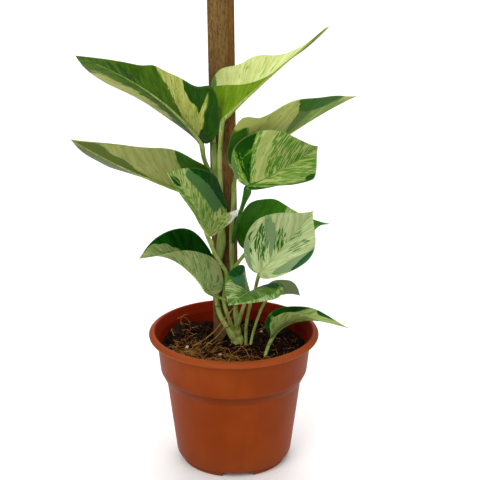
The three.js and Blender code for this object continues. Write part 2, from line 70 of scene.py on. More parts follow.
def add(tree, kind, inputs=None, **settings):
    """Adds a node. An input is a plain value, a hex colour, or another node or output to link."""
    node = tree.nodes.new(kind)
    for name, value in settings.items():
        setattr(node, name, value)
    for key, value in (inputs or {}).items():
        socket = node.inputs[key]
        if isinstance(value, (bpy.types.Node, bpy.types.NodeSocket)):
            link(tree, value, socket)
        elif socket.type == "RGBA":
            socket.default_value = to_linear(value)
        else:
            socket.default_value = value
    return node


def smooth(low, high, value):
    """0 up to the low value, rising smoothly to 1 at the high one."""
    share = min(max((value - low) / (high - low), 0), 1)
    return share * share * (3 - 2 * share)


def smooth_path(points, step):
    """Points on a centripetal Catmull-Rom curve through the given ones, about a step apart."""
    given = [Vector(p) for p in points]
    ends = [2 * given[0] - given[1], *given, 2 * given[-1] - given[-2]]
    path = []
    for p0, p1, p2, p3 in zip(ends, ends[1:], ends[2:], ends[3:]):
        gaps = [(b - a).length ** 0.5 for a, b in ((p0, p1), (p1, p2), (p2, p3))]
        out = (p1 - p0) / gaps[0] - (p2 - p0) / (gaps[0] + gaps[1]) + (p2 - p1) / gaps[1]
        into = (p2 - p1) / gaps[1] - (p3 - p1) / (gaps[1] + gaps[2]) + (p3 - p2) / gaps[2]
        out *= gaps[1]
        into *= gaps[1]
        count = max(2, round((p2 - p1).length / step))
        for i in range(count):
            t = i / count
            path.append(
                p1 + out * t
                + (3 * (p2 - p1) - 2 * out - into) * t * t
                + (2 * (p1 - p2) + out + into) * t * t * t
            )
    path.append(given[-1])
    return path


def make_object(name, mesh):
    piece = bpy.data.objects.new(name, mesh)
    bpy.context.scene.collection.objects.link(piece)
    return piece


def make_piece(name, points, faces, material, crease=40):
    """A mesh piece from points in millimetres, shaded smooth up to the crease angle."""
    mesh = bpy.data.meshes.new(name)
    mesh.from_pydata([Vector(p) * MM for p in points], [], faces)
    mesh.materials.append(material)
    piece = make_object(name, mesh)
    shade(mesh, crease)
    return piece


def shade(mesh, crease):
    mesh.shade_smooth()
    mesh.set_sharp_from_angle(angle=math.radians(crease))


def turn_outward(mesh):
    """Makes all the faces of a closed mesh look outwards."""
    build = bmesh.new()
    build.from_mesh(mesh)
    bmesh.ops.recalc_face_normals(build, faces=build.faces)
    build.to_mesh(mesh)
    build.free()


def store(mesh, name, values, kind="FLOAT"):
    """Keeps one number or vector a point under a name that a material reads."""
    attribute = mesh.attributes.new(name, kind, "POINT")
    if kind == "FLOAT":
        attribute.data.foreach_set("value", values)
    else:
        attribute.data.foreach_set("vector", [n for value in values for n in value])


def settle(piece, name, crease=None):
    """Replaces a piece that has modifiers by the plain mesh they make."""
    graph = bpy.context.evaluated_depsgraph_get()
    mesh = bpy.data.meshes.new_from_object(piece.evaluated_get(graph))
    mesh.name = name
    bpy.data.objects.remove(piece)
    plain = make_object(name, mesh)
    if crease:
        shade(mesh, crease)
    return plain


def run_tree(piece, tree, values):
    """Gives the piece a Geometry Nodes tree with its named inputs set."""
    modifier = piece.modifiers.new(tree.name, "NODES")
    modifier.node_group = tree
    for item in tree.interface.items_tree:
        if item.in_out == "INPUT" and item.name in values:
            modifier[item.identifier] = values[item.name]


def new_tree(name, inputs):
    """An empty Geometry Nodes tree, with the outputs that carry its named inputs."""
    tree = bpy.data.node_groups.new(name, "GeometryNodeTree")
    for label, kind in inputs:
        tree.interface.new_socket(label, in_out="INPUT", socket_type=kind)
    tree.interface.new_socket("Result", in_out="OUTPUT", socket_type="NodeSocketGeometry")
    return tree, add(tree, "NodeGroupInput").outputs


def finish_tree(tree, geometry, material):
    """Ends a tree with real geometry in one material."""
    whole = add(tree, "GeometryNodeRealizeInstances", {"Geometry": geometry})
    painted = add(tree, "GeometryNodeSetMaterial", {"Geometry": whole, "Material": material})
    add(tree, "NodeGroupOutput", {"Result": painted})


def new_material(name, colour, roughness, specular=0.5):
    """A material with its node tree and its shader."""
    material = bpy.data.materials.new(name)
    material.use_nodes = True
    shader = material.node_tree.nodes["Principled BSDF"]
    shader.inputs["Base Color"].default_value = to_linear(colour)
    shader.inputs["Roughness"].default_value = roughness
    shader.inputs["Specular IOR Level"].default_value = specular
    return material, material.node_tree, shader


def patterns(tree, place, millimetre, *rows):
    """Noise patterns over a place, given the length of a millimetre there. A row has the size of
    the features in millimetres along each axis, the detail and the distortion."""
    made = []
    for sizes, detail, distortion in rows:
        unit = [size * millimetre for size in sizes]
        counted = add(tree, "ShaderNodeVectorMath", {0: place, 1: unit}, operation="DIVIDE")
        made.append(add(tree, "ShaderNodeTexNoise", {
            "Vector": counted, "Scale": 1.0, "Detail": detail, "Distortion": distortion,
        }))
    return made


def weighed(tree, value, *others):
    """A value plus others, each given with its weight."""
    for other, weight in others:
        value = add(tree, "ShaderNodeMath", {0: other, 1: weight, 2: value}, operation="MULTIPLY_ADD")
    return value


def coat(tree, colour, tint, span, value, *others, most=1.0):
    """Turns a colour into a tint where a value and its weighed others rise across the span. The
    tint's share there goes up to the most that is given."""
    total = weighed(tree, value, *others)
    share = add(
        tree, "ShaderNodeMapRange",
        {"Value": total, "From Min": span[0], "From Max": span[1], "To Max": most},
        interpolation_type="SMOOTHSTEP",
    )
    return add(tree, "ShaderNodeMix", {0: share, 6: colour, 7: tint}, data_type="RGBA")


def finish_material(tree, shader, colour, height, depth, strength):
    """Gives a material its colour and a relief, with its depth in millimetres."""
    link(tree, colour, shader.inputs["Base Color"])
    relief = add(tree, "ShaderNodeBump", {"Height": height, "Distance": depth * MM, "Strength": strength})
    link(tree, relief, shader.inputs["Normal"])


# Materials

# Noise on a blade: its sizes along the midrib and out along the side veins, and how slowly it
# changes from leaf to leaf
BLADE_PATTERNS = {
    "blot": ((6.25, 18.2, 1), 3.0, 0.4),
    "other blot": ((5, 14.3, 1 / 1.7), 3.0, 0.3),
    "streak": ((2, 11.1, 1), 3.0, 0.5),
    "mottle": ((3.33, 8.33, 1 / 1.3), 4.0, 0.8),
    "speck": ((1.33, 4.55, 1), 2.0, 0.6),
    "grain": ((0.77, 1.82, 1), 3.0, 0.4),
}
BLADE_FIELDS = ("cream", "deep", "grey", "fleck", "white")


def living_leaf(name, paint):
    """Living leaf blade, smooth with a thin wax bloom: the cells give a soft satin gloss, and the
    patches without leaf green grow along the side veins in crisp, streaky blots."""
    material, tree, shader = new_material(name, paint["green"], 0.45, specular=0.04)
    vein = add(tree, "ShaderNodeAttribute", attribute_name="vein").outputs["Vector"]
    cream, deep, grey, fleck, white, rim, under = (
        add(tree, "ShaderNodeAttribute", attribute_name=field).outputs["Fac"]
        for field in (*BLADE_FIELDS, "rim", "under")
    )
    blot, other_blot, streak, mottle, speck, grain = patterns(tree, vein, 1, *BLADE_PATTERNS.values())

    colour = coat(tree, paint["green"], paint["light"], (0.38, 0.66), mottle)
    colour = coat(
        tree, colour, paint["grey"], (0.48, 0.7), grey, (other_blot, -0.9), (streak, 0.6), (grain, 0.4),
    )
    darkest = coat(tree, paint["deep"], paint["dark"], (0.4, 0.62), mottle)
    colour = coat(
        tree, colour, darkest, (1.63, 1.77), deep, (other_blot, 1.2), (streak, 0.5), (grain, 0.7),
    )
    pale = coat(tree, paint["cream"], paint["bright"], (0.35, 0.65), blot)
    pale = coat(tree, pale, "F2F2E8", (0.35, 0.6), white)
    pale = coat(tree, pale, paint["fleck"], (0.48, 0.72), mottle, most=0.28)
    pale = coat(tree, pale, paint["fleck"], (0.65, 0.73), speck, (fleck, 0.25))
    colour = coat(tree, colour, pale, (1.73, 1.87), cream, (blot, 1.2), (streak, 0.7), (grain, 0.7))

    parts = add(tree, "ShaderNodeSeparateXYZ", {0: vein}).outputs
    from_midrib = add(tree, "ShaderNodeMath", {0: parts[1]}, operation="ABSOLUTE")
    rib = add(tree, "ShaderNodeMapRange", {
        "Value": from_midrib, "From Min": 0.35, "From Max": 0.9, "To Min": 0.4, "To Max": 0.0,
    })
    colour = add(tree, "ShaderNodeMix", {0: rib, 6: colour, 7: paint["rib"]}, data_type="RGBA")
    # A thin paler band at the blade's edge: partly its own margin colour, partly a painted edge highlight
    colour = coat(tree, colour, paint["margin_and_edge_highlight"], (0.965, 0.985), rim, most=paint["margin_and_edge_highlight_share"])
    below = weighed(tree, 0.0, (under, 0.04))
    colour = add(tree, "ShaderNodeMix", {0: below, 6: colour, 7: paint["under"]}, data_type="RGBA")

    waves = weighed(tree, 0.0, (parts[0], 2 * math.pi / SIDE_VEIN_SPACING), (streak, 1.5))
    side_veins = add(tree, "ShaderNodeMath", {0: waves}, operation="SINE")
    height = weighed(tree, 0.0, (side_veins, 0.18), (streak, 0.4), (mottle, 0.9))
    finish_material(tree, shader, colour, height, 0.4, 0.5)
    return material


def living_stalk(name, pale, green, dark):
    """Living leaf stalk, smooth skin: long green streaks under a satin gloss."""
    material, tree, shader = new_material(name, pale, 0.45, specular=0.1)
    place = add(tree, "ShaderNodeTexCoord").outputs["Object"]
    streak, broad = patterns(
        tree, place, MM, ((1.43, 1.43, 10.2), 2.0, 0.0), ((16.7, 16.7, 16.7), 2.0, 0.0),
    )
    colour = coat(tree, pale, green, (0.4, 0.6), broad)
    colour = coat(tree, colour, dark, (0.52, 0.66), streak, most=0.75)
    finish_material(tree, shader, colour, streak, 0.2, 0.5)
    return material


def living_stem():
    """Living stem, smooth skin with corky joints: pale green, yellower at the crown, and brown
    where old leaves came off."""
    material, tree, shader = new_material("living_stem_smooth_skin", "8C9C54", 0.45, specular=0.1)
    crown_height = 112 * MM
    crown_blend = 22 * MM
    place = add(tree, "ShaderNodeTexCoord").outputs["Object"]
    height = add(tree, "ShaderNodeSeparateXYZ", {0: place}).outputs[2]
    joint = add(tree, "ShaderNodeAttribute", attribute_name="joint").outputs["Fac"]
    streak, blot = patterns(
        tree, place, MM, ((1.67, 1.67, 13.9), 2.0, 0.0), ((4.55, 4.55, 4.55), 3.0, 0.0),
    )
    colour = coat(tree, "93A35A", "6F8838", (0.4, 0.65), streak)
    colour = coat(
        tree, colour, "B2BC6A", (0.0, crown_blend), crown_height, (height, -1.0), (blot, 6 * MM), most=0.75,
    )
    colour = coat(tree, colour, "5E4A26", (1.05, 1.25), joint, (blot, 0.8), most=0.85)
    relief = weighed(tree, 0.0, (streak, 0.6), (blot, 0.7))
    finish_material(tree, shader, colour, relief, 0.4, 0.6)
    return material


def moulded_polypropylene():
    """Injection-moulded polypropylene, coloured through: an even satin skin with the faint
    mottling of the pigment, a rim painted paler as a highlight, dust that dulls it near the foot,
    and painted shade under the collar's step and on the inner wall."""
    material, tree, shader = new_material("moulded_polypropylene", "84390F", 0.42, specular=0.05)
    dust_heights = (12 * MM, 36 * MM)
    shade_heights = (59.5 * MM, 66.5 * MM, 67.5 * MM)
    painted_highlight_rim_heights = (91.5 * MM, 94.5 * MM)
    place = add(tree, "ShaderNodeTexCoord").outputs["Object"]
    height = add(tree, "ShaderNodeSeparateXYZ", {0: place}).outputs[2]
    inside = add(tree, "ShaderNodeAttribute", attribute_name="inside").outputs["Fac"]
    # The grain of the skin is finer than a millimetre, and is drawn at 0.7 mm so that it shows
    cloudy, flow, skin = patterns(
        tree, place, MM, ((45.5, 45.5, 45.5), 4.0, 0.0), ((11.1, 11.1, 44.4), 3.0, 0.0),
        ((0.714, 0.714, 0.714), 2.0, 0.0),
    )
    colour = coat(tree, "7C3108", "86390C", (0.35, 0.68), cloudy)
    colour = coat(tree, colour, "702C08", (0.5, 0.75), flow, most=0.3)
    dust = add(tree, "ShaderNodeMapRange", {
        "Value": weighed(tree, height, (cloudy, 20 * MM)),
        "From Min": dust_heights[0], "From Max": dust_heights[1], "To Min": 0.16, "To Max": 0.0,
    })
    colour = add(tree, "ShaderNodeMix", {0: dust, 6: colour, 7: "845438"}, data_type="RGBA")
    # Painted highlight: the rim bead is painted a paler orange, where the lamps catch it
    colour = coat(tree, colour, "A4522A", painted_highlight_rim_heights, height, (flow, 1 * MM), most=0.3)
    # Painted shade: a dark band on the slope under the collar's step, where shade falls
    below_step, past_step = (
        add(tree, "ShaderNodeMapRange", {"Value": height, "From Min": clean, "From Max": shade_heights[1]})
        for clean in (shade_heights[0], shade_heights[2])
    )
    both = add(tree, "ShaderNodeMath", {0: below_step, 1: past_step}, operation="MULTIPLY")
    painted_shade_under_step = weighed(tree, 0.0, (both, 0.5))
    colour = add(tree, "ShaderNodeMix", {0: painted_shade_under_step, 6: colour, 7: "3A1606"}, data_type="RGBA")
    # Painted shade: faces that look in towards the middle are painted darker and redder, as the shade
    # inside the pot
    colour = add(tree, "ShaderNodeMix", {0: inside, 6: colour, 7: "7A1E06"}, data_type="RGBA")
    link(tree, weighed(tree, 0.36, (cloudy, 0.12), (flow, 0.06)), shader.inputs["Roughness"])
    relief = weighed(tree, 0.0, (skin, 0.3), (cloudy, 0.8))
    finish_material(tree, shader, colour, relief, 0.2, 0.4)
    return material


def sawn_wood():
    """Sawn hardwood, weathered: straight grain and short dark pores, greyed on the face that met
    the light, warmer on the sheltered side and dark where damp soil has stained the foot."""
    material, tree, shader = new_material("sawn_weathered_hardwood", "6C5630", 0.8, specular=0.02)
    damp_heights = (84 * MM, 100 * MM)
    place = add(tree, "ShaderNodeTexCoord").outputs["Object"]
    height = add(tree, "ShaderNodeSeparateXYZ", {0: place}).outputs[2]
    warm = add(tree, "ShaderNodeAttribute", attribute_name="sheltered").outputs["Fac"]
    # Pores and grain are finer in real wood, and are drawn over a millimetre wide so that they show
    pores, grain, bands, patch = patterns(
        tree, place, MM, ((1.11, 1.11, 3.47), 4.0, 0.3), ((1.43, 1.43, 23.8), 3.0, 0.3),
        ((5.26, 5.26, 65.8), 3.0, 0.6), ((22.2, 22.2, 74.1), 3.0, 0.0),
    )
    grey = coat(tree, "7C6238", "684F2B", (0.3, 0.7), bands)
    brown = coat(tree, "80592A", "6A4519", (0.3, 0.7), bands)
    colour = add(tree, "ShaderNodeMix", {0: warm, 6: grey, 7: brown}, data_type="RGBA")
    colour = coat(tree, colour, "3C2C16", (0.5, 0.72), grain, most=0.35)
    colour = coat(tree, colour, "412E18", (0.46, 0.62), pores, most=0.55)
    colour = coat(tree, colour, "463620", (0.52, 0.7), patch, most=0.35)
    damp = add(tree, "ShaderNodeMapRange", {
        "Value": weighed(tree, height, (patch, 12 * MM)),
        "From Min": damp_heights[0], "From Max": damp_heights[1], "To Min": 0.8, "To Max": 0.0,
    })
    colour = add(tree, "ShaderNodeMix", {0: damp, 6: colour, 7: "2E1E12"}, data_type="RGBA")
    relief = weighed(tree, 0.0, (pores, 0.8), (grain, 0.5))
    finish_material(tree, shader, colour, relief, 0.6, 0.6)
    return material


def potting_mix(name, dark, brown, ruddy):
    """Moist peat and bark mix, tipped in loose: near black, with browner crumbs that have dried."""
    material, tree, shader = new_material(name, dark, 0.92, specular=0.04)
    place = add(tree, "ShaderNodeTexCoord").outputs["Object"]
    crumb, lump = patterns(
        tree, place, MM, ((2.38, 2.38, 2.38), 4.0, 0.0), ((9.09, 9.09, 9.09), 3.0, 0.0),
    )
    colour = coat(tree, dark, brown, (0.38, 0.66), lump)
    colour = coat(tree, colour, ruddy, (0.55, 0.72), crumb, most=0.8)
    finish_material(tree, shader, colour, weighed(tree, 0.0, (crumb, 1.0), (lump, 0.6)), 1.2, 0.9)
    return material


def dry_fibre(name, light, brown):
    """Coconut husk fibre, washed and dried: golden brown hairs with a dull straw gloss."""
    material, tree, shader = new_material(name, light, 0.7, specular=0.1)
    place = add(tree, "ShaderNodeTexCoord").outputs["Object"]
    tuft, = patterns(tree, place, MM, ((4.17, 4.17, 4.17), 3.0, 0.0))
    link(tree, coat(tree, light, brown, (0.36, 0.64), tuft), shader.inputs["Base Color"])
    return material


def expanded_perlite():
    """Perlite, volcanic glass puffed by heat: chalky off-white with a pitted skin, soil-stained."""
    material, tree, shader = new_material("expanded_perlite_grain", "E6D6BC", 0.85)
    place = add(tree, "ShaderNodeTexCoord").outputs["Object"]
    pits, = patterns(tree, place, MM, ((1.11, 1.11, 1.11), 3.0, 0.0))
    colour = coat(tree, "D2B89A", "94724E", (0.5, 0.7), pits, most=0.7)
    finish_material(tree, shader, colour, pits, 0.5, 0.8)
    return material


# The camera, the light and the floor

# The camera's place and tilt were fitted to the pot's rim, collar, sides and foot
CAMERA_PLACE = (4.4, -784.4, 427.7)
CAMERA_TILT = 18.64
# Each lamp's place in metres, the height of the point it looks at, its size and its power
LAMP_AIM = 0.17
LAMPS = {
    "key": ((-0.8, -1.4, 1.4), 1.2, 23),
    "fill": ((1.0, -1.2, 1.2), 1.2, 9),
    "top": ((0.1, 0.2, 1.7), 1.2, 8),
    "back": ((0, 1.4, 1.9), 2.0, 22),
    "far back": ((0, 2.9, 2.2), 2.6, 40),
}
FLOOR_HALF = 3000


def set_up_camera():
    camera = bpy.data.cameras.new("camera")
    camera.lens = 90
    camera.sensor_width = 36
    camera.clip_end = 50
    view = bpy.data.objects.new("camera", camera)
    view.location = Vector(CAMERA_PLACE) * MM
    view.rotation_euler = (math.radians(90 - CAMERA_TILT), 0, 0)
    bpy.context.scene.collection.objects.link(view)
    bpy.context.scene.camera = view


def set_up_light():
    scene = bpy.context.scene
    scene.view_settings.view_transform = "Standard"
    scene.world = bpy.data.worlds.new("studio")
    scene.world.use_nodes = True
    sky = scene.world.node_tree.nodes["Background"]
    sky.inputs["Color"].default_value = (1, 1, 1, 1)
    sky.inputs["Strength"].default_value = 0.4
    for name, (place, size, power) in LAMPS.items():
        light = bpy.data.lights.new(name, "AREA")
        light.size = size
        light.energy = power
        lamp = bpy.data.objects.new(name, light)
        lamp.location = place
        aim = Vector((0, place[1] if "back" in name else 0, LAMP_AIM)) - lamp.location
        lamp.rotation_euler = aim.to_track_quat("-Z", "Y").to_euler()
        scene.collection.objects.link(lamp)


def make_floor():
    corners = [(x * FLOOR_HALF, y * FLOOR_HALF, 0) for x, y in ((-1, -1), (1, -1), (1, 1), (-1, 1))]
    paper = new_material("pale_paper_sweep", "F8F8F7", 0.9)[0]
    floor = make_piece("floor", corners, [(0, 1, 2, 3)], paper)


# Tubes: stalks, stems and the aerial root

def tube_tree():
    """A round skin along a path of edges, as thick at each point as its girth."""
    tree, given = new_tree("tube_along_a_path", [
        ("Path", "NodeSocketGeometry"), ("Sides", "NodeSocketInt"), ("Finish", "NodeSocketMaterial"),
    ])
    girth = add(tree, "GeometryNodeInputNamedAttribute", {"Name": "girth"}, data_type="FLOAT")
    line = add(tree, "GeometryNodeMeshToCurve", {"Mesh": given["Path"]})
    ring = add(tree, "GeometryNodeCurvePrimitiveCircle", {"Resolution": given["Sides"], "Radius": 1.0})
    skin = add(tree, "GeometryNodeCurveToMesh", {
        "Curve": line, "Profile Curve": ring, "Scale": girth, "Fill Caps": True,
    })
    finish_tree(tree, skin, given["Finish"])
    return tree


def make_tube(name, path, girths, material, sides=12, joints=None):
    """A round skin along the path, with a girth of its own at each point."""
    mesh = bpy.data.meshes.new(name)
    mesh.from_pydata([LEAN @ p * MM for p in path], [(i, i + 1) for i in range(len(path) - 1)], [])
    store(mesh, "girth", [g * MM for g in girths])
    if joints:
        store(mesh, "joint", joints)
    tube = make_object(name + "_path", mesh)
    run_tree(tube, TUBES, {"Sides": sides, "Finish": material})
    return settle(tube, name, 60)


# The leaves

SIDE_VEIN_SPACING = 7.0
BLADE_THICKNESS = 0.55
EDGE_THICKNESS = 0.35
LOBE_ROWS = 24
SIDE_ROWS = 48
COLUMNS = 16
MIDRIB_STEPS = 200
# The stalk goes on under the blade as a ridge, up to this share of its length
RIDGE_END = 0.88
# A row starts on the midrib behind its place at the edge, by this power of its share, and the side
# veins slant this far towards the tip for each millimetre out
VEIN_LAG = 1.15
VEIN_LEAN = 0.55

# Each leaf: its base, tip and midrib as in the part's source, its two halves as width, fold,
# curl, lobe, widest and flare, its waves, its stalk with the sheath that thickens it, and its
# bulges as side, share, reach and growth, with a shift of the edge where it has one.
LEAVES = {
    "leaf_top_left": dict(
        base=(-21, 4, 235.4), tip=(-95.6, -42.7, 306.9),
        bow=10.5, bow_at=0.37, sway=-0.8, roll=(44, 47.5), tip_fold=1, shoulder=0.49, taper=0.49,
        left=(30.2, -18.5, 34, 3, 0.2, 1), right=(39, 13, 50, 11.5, 0.25, 1),
        wave=(1.2, 2.5, 0.5), bulges=[(-1, 0.08, 0.1, 0.28), (-1, 0.52, 0.06, 0.11)],
        radius=1.6, stalk=[(-12.8, 9.8, 203), (-16.5, 7, 214), (-19.5, 5.2, 223)],
    ),
    "leaf_upper_left": dict(
        base=(-24.5, 3.2, 197.3), tip=(-101, -41.3, 252),
        bow=-1.8, bow_at=0.5, sway=2.8, roll=(28, 40), tip_fold=0.8, shoulder=0.48, taper=0.36,
        left=(32, 20.5, 7, 4.8, 0.28, 1), right=(32, 20, 12, 9.5, 0.22, 1),
        wave=(1.2, 2.5, 2),
        radius=1.6, stalk=[(-9.5, 8, 172), (-12.5, 6.4, 181), (-18.5, 4, 190.5)],
    ),
    "leaf_centre_left": dict(
        base=(-16.3, -18.8, 177.4), tip=(-41, -47, 231.7),
        bow=2.8, bow_at=0.59, sway=2.4, roll=(-67, -61), tip_fold=0.8, shoulder=0.54, taper=0.37,
        left=(20.3, 16, 19, 4.4, 0.29, 0.9), right=(27.2, 22, 4, 9, 0.21, 1),
        wave=(1, 2, 1), bulges=[(1, -0.48, 0.1, 1.4, (0, -13, 4.5))],
        radius=1.5, stalk=[
            (0, 8.6, 91.5), (-1.8, 5.6, 99), (-4, 3.2, 107), (-6.6, 2.2, 118.5), (-5.4, 1.2, 130.5),
            (-5, -0.8, 141.5), (-9, -6, 151.6), (-13, -12, 162.6),
        ],
    ),
    "leaf_top_right": dict(
        base=(-6.4, -12.6, 255.8), tip=(62, 3.2, 314.4),
        bow=-6.7, bow_at=0.27, sway=2.6, roll=(-57.5, -137), tip_fold=1.55, shoulder=0.48, taper=0.19,
        left=(30.4, 68.5, 102, 8.4, 0.18, 1.06), right=(27, 65, -15.5, 3.4, 0.22, 0.92),
        wave=(0.8, 2, 0), bulges=[(-1, 0.15, 0.12, 0.08), (-1, 0.45, 0.12, 0.16), (-1, 0.9, 0.05, 1.4)],
        radius=1.6, stalk=[
            (-7.6, 6.4, 174), (-8, 3.4, 190), (-8.4, 1, 205), (-9, -4.4, 222), (-8, -10.4, 241),
        ],
    ),
    "leaf_upper_right": dict(
        base=(3.9, -15.3, 224), tip=(85.1, 49, 253.5),
        bow=2.2, bow_at=0.63, sway=0, roll=(-19.5, -21), tip_fold=0.45, shoulder=0.55, taper=0.3,
        left=(21.6, 48.5, 6, 4, 0.25, 1), right=(32.2, 45, 21.5, 13, 0.14, 1.24),
        wave=(1.2, 2.5, 0.8), bulges=[(1, -0.12, 0.09, 0.13)],
        radius=1.4, stalk=[(0.5, 6.2, 200), (0.8, 0, 206), (1.6, -8, 214.5)],
    ),
    "leaf_right": dict(
        base=(10.5, -44, 222), tip=(57, 13, 229),
        bow=-1, bow_at=0.5, sway=1.5, roll=(22, 64), tip_fold=1.2, shoulder=0.52, taper=0.24,
        left=(31, 32.5, 14, 11, 0.24, 1), right=(28.5, 32.5, 10, 11.5, 0.24, 1),
        wave=(0.7, 2, 2.4),
        radius=1.5, sheath=1.3, stalk=[(-0.2, 5.8, 162), (2.4, -2, 177.5), (6, -15, 196), (9, -30, 211.5)],
    ),
    "leaf_dark_right": dict(
        base=(11, 11, 153.8), tip=(69.6, 63.7, 151.2),
        bow=2.6, bow_at=0.45, sway=-2, roll=(26, -10), tip_fold=1, shoulder=0.49, taper=0.16,
        left=(30, 39, 33, 10.4, 0.21, 1.08), right=(26.5, 18, -23.5, 12, 0.23, 1),
        wave=(1, 2, 1.2), bulges=[(-1, 0.3, 0.15, 0.05)],
        radius=1.3, stalk=[(-0.6, 5.8, 140), (4.6, 6.4, 148)],
    ),
    "leaf_round_right": dict(
        base=(18, -14.5, 148), tip=(56, 37.5, 172),
        bow=-1.5, bow_at=0.5, sway=0.5, roll=(22, 30), tip_fold=1, shoulder=0.52, taper=0.24,
        left=(31, 39, 22, 8.5, 0.24, 1), right=(30, 40, -3, 10, 0.24, 1),
        wave=(0.6, 2, 0.3),
        radius=1.3, stalk=[
            (10, 15, 66), (8.8, 10.8, 81), (9, 6, 98.8), (11.7, -0.6, 117.8), (14.6, -7, 131),
        ],
    ),
    "leaf_low_left": dict(
        base=(-17.5, -8.5, 131), tip=(-61, -36, 168),
        bow=9, bow_at=0.7, sway=-0.5, roll=(21, -21), tip_fold=0.5, shoulder=0.52, taper=0.24,
        left=(17.5, 45, 45, 9, 0.24, 1), right=(29, 49, 53, 11, 0.24, 1),
        wave=(0.8, 2, 0.9),
        radius=1.1, stalk=[(0.8, 6.2, 114), (-4.5, -1, 120.5), (-9.5, -2.6, 123.6)],
    ),
    "leaf_front": dict(
        base=(11, -16.5, 134.5), tip=(-3, -60, 146),
        bow=2, bow_at=0.5, sway=-2, roll=(-9, -2), tip_fold=0, shoulder=0.52, taper=0.24,
        left=(25, 45, -36, 8.5, 0.24, 1), right=(20, 55, 27, 9, 0.24, 1),
        wave=(0.6, 2, 0.2),
        radius=1.4, stalk=[(2.2, 8.8, 92), (4, 3.4, 103), (6.6, -4, 116), (9, -9.6, 125.6)],
    ),
    "leaf_small_right": dict(
        base=(23, 9.5, 117), tip=(48, 40, 104.5),
        bow=2, bow_at=0.5, sway=1.5, roll=(-48, -12), tip_fold=1, shoulder=0.52, taper=0.24,
        left=(15, 21, -7, 7, 0.24, 1), right=(13.5, 26, 19, 7.5, 0.24, 1),
        wave=(0.5, 2, 0),
        radius=1.1, stalk=[(10.5, 5, 66), (11.6, 6, 80), (14.5, 7.4, 94), (19, 8.8, 108)],
    ),
    "leaf_rim_right": dict(
        base=(28, -3.2, 95.5), tip=(77.2, -23.4, 111),
        bow=6.9, bow_at=0.26, sway=-5, roll=(-8.7, -8.8), tip_fold=0.46, shoulder=0.57, taper=0.27,
        left=(14.5, 32.5, 26.5, 2.8, 0.24, 1), right=(19, 21.5, 46, 5, 0.19, 0.9),
        wave=(0.6, 2, 0.4),
        radius=1.3, stalk=[(20, -13, 68), (21.6, -11, 81), (24.4, -7, 89)],
    ),
}
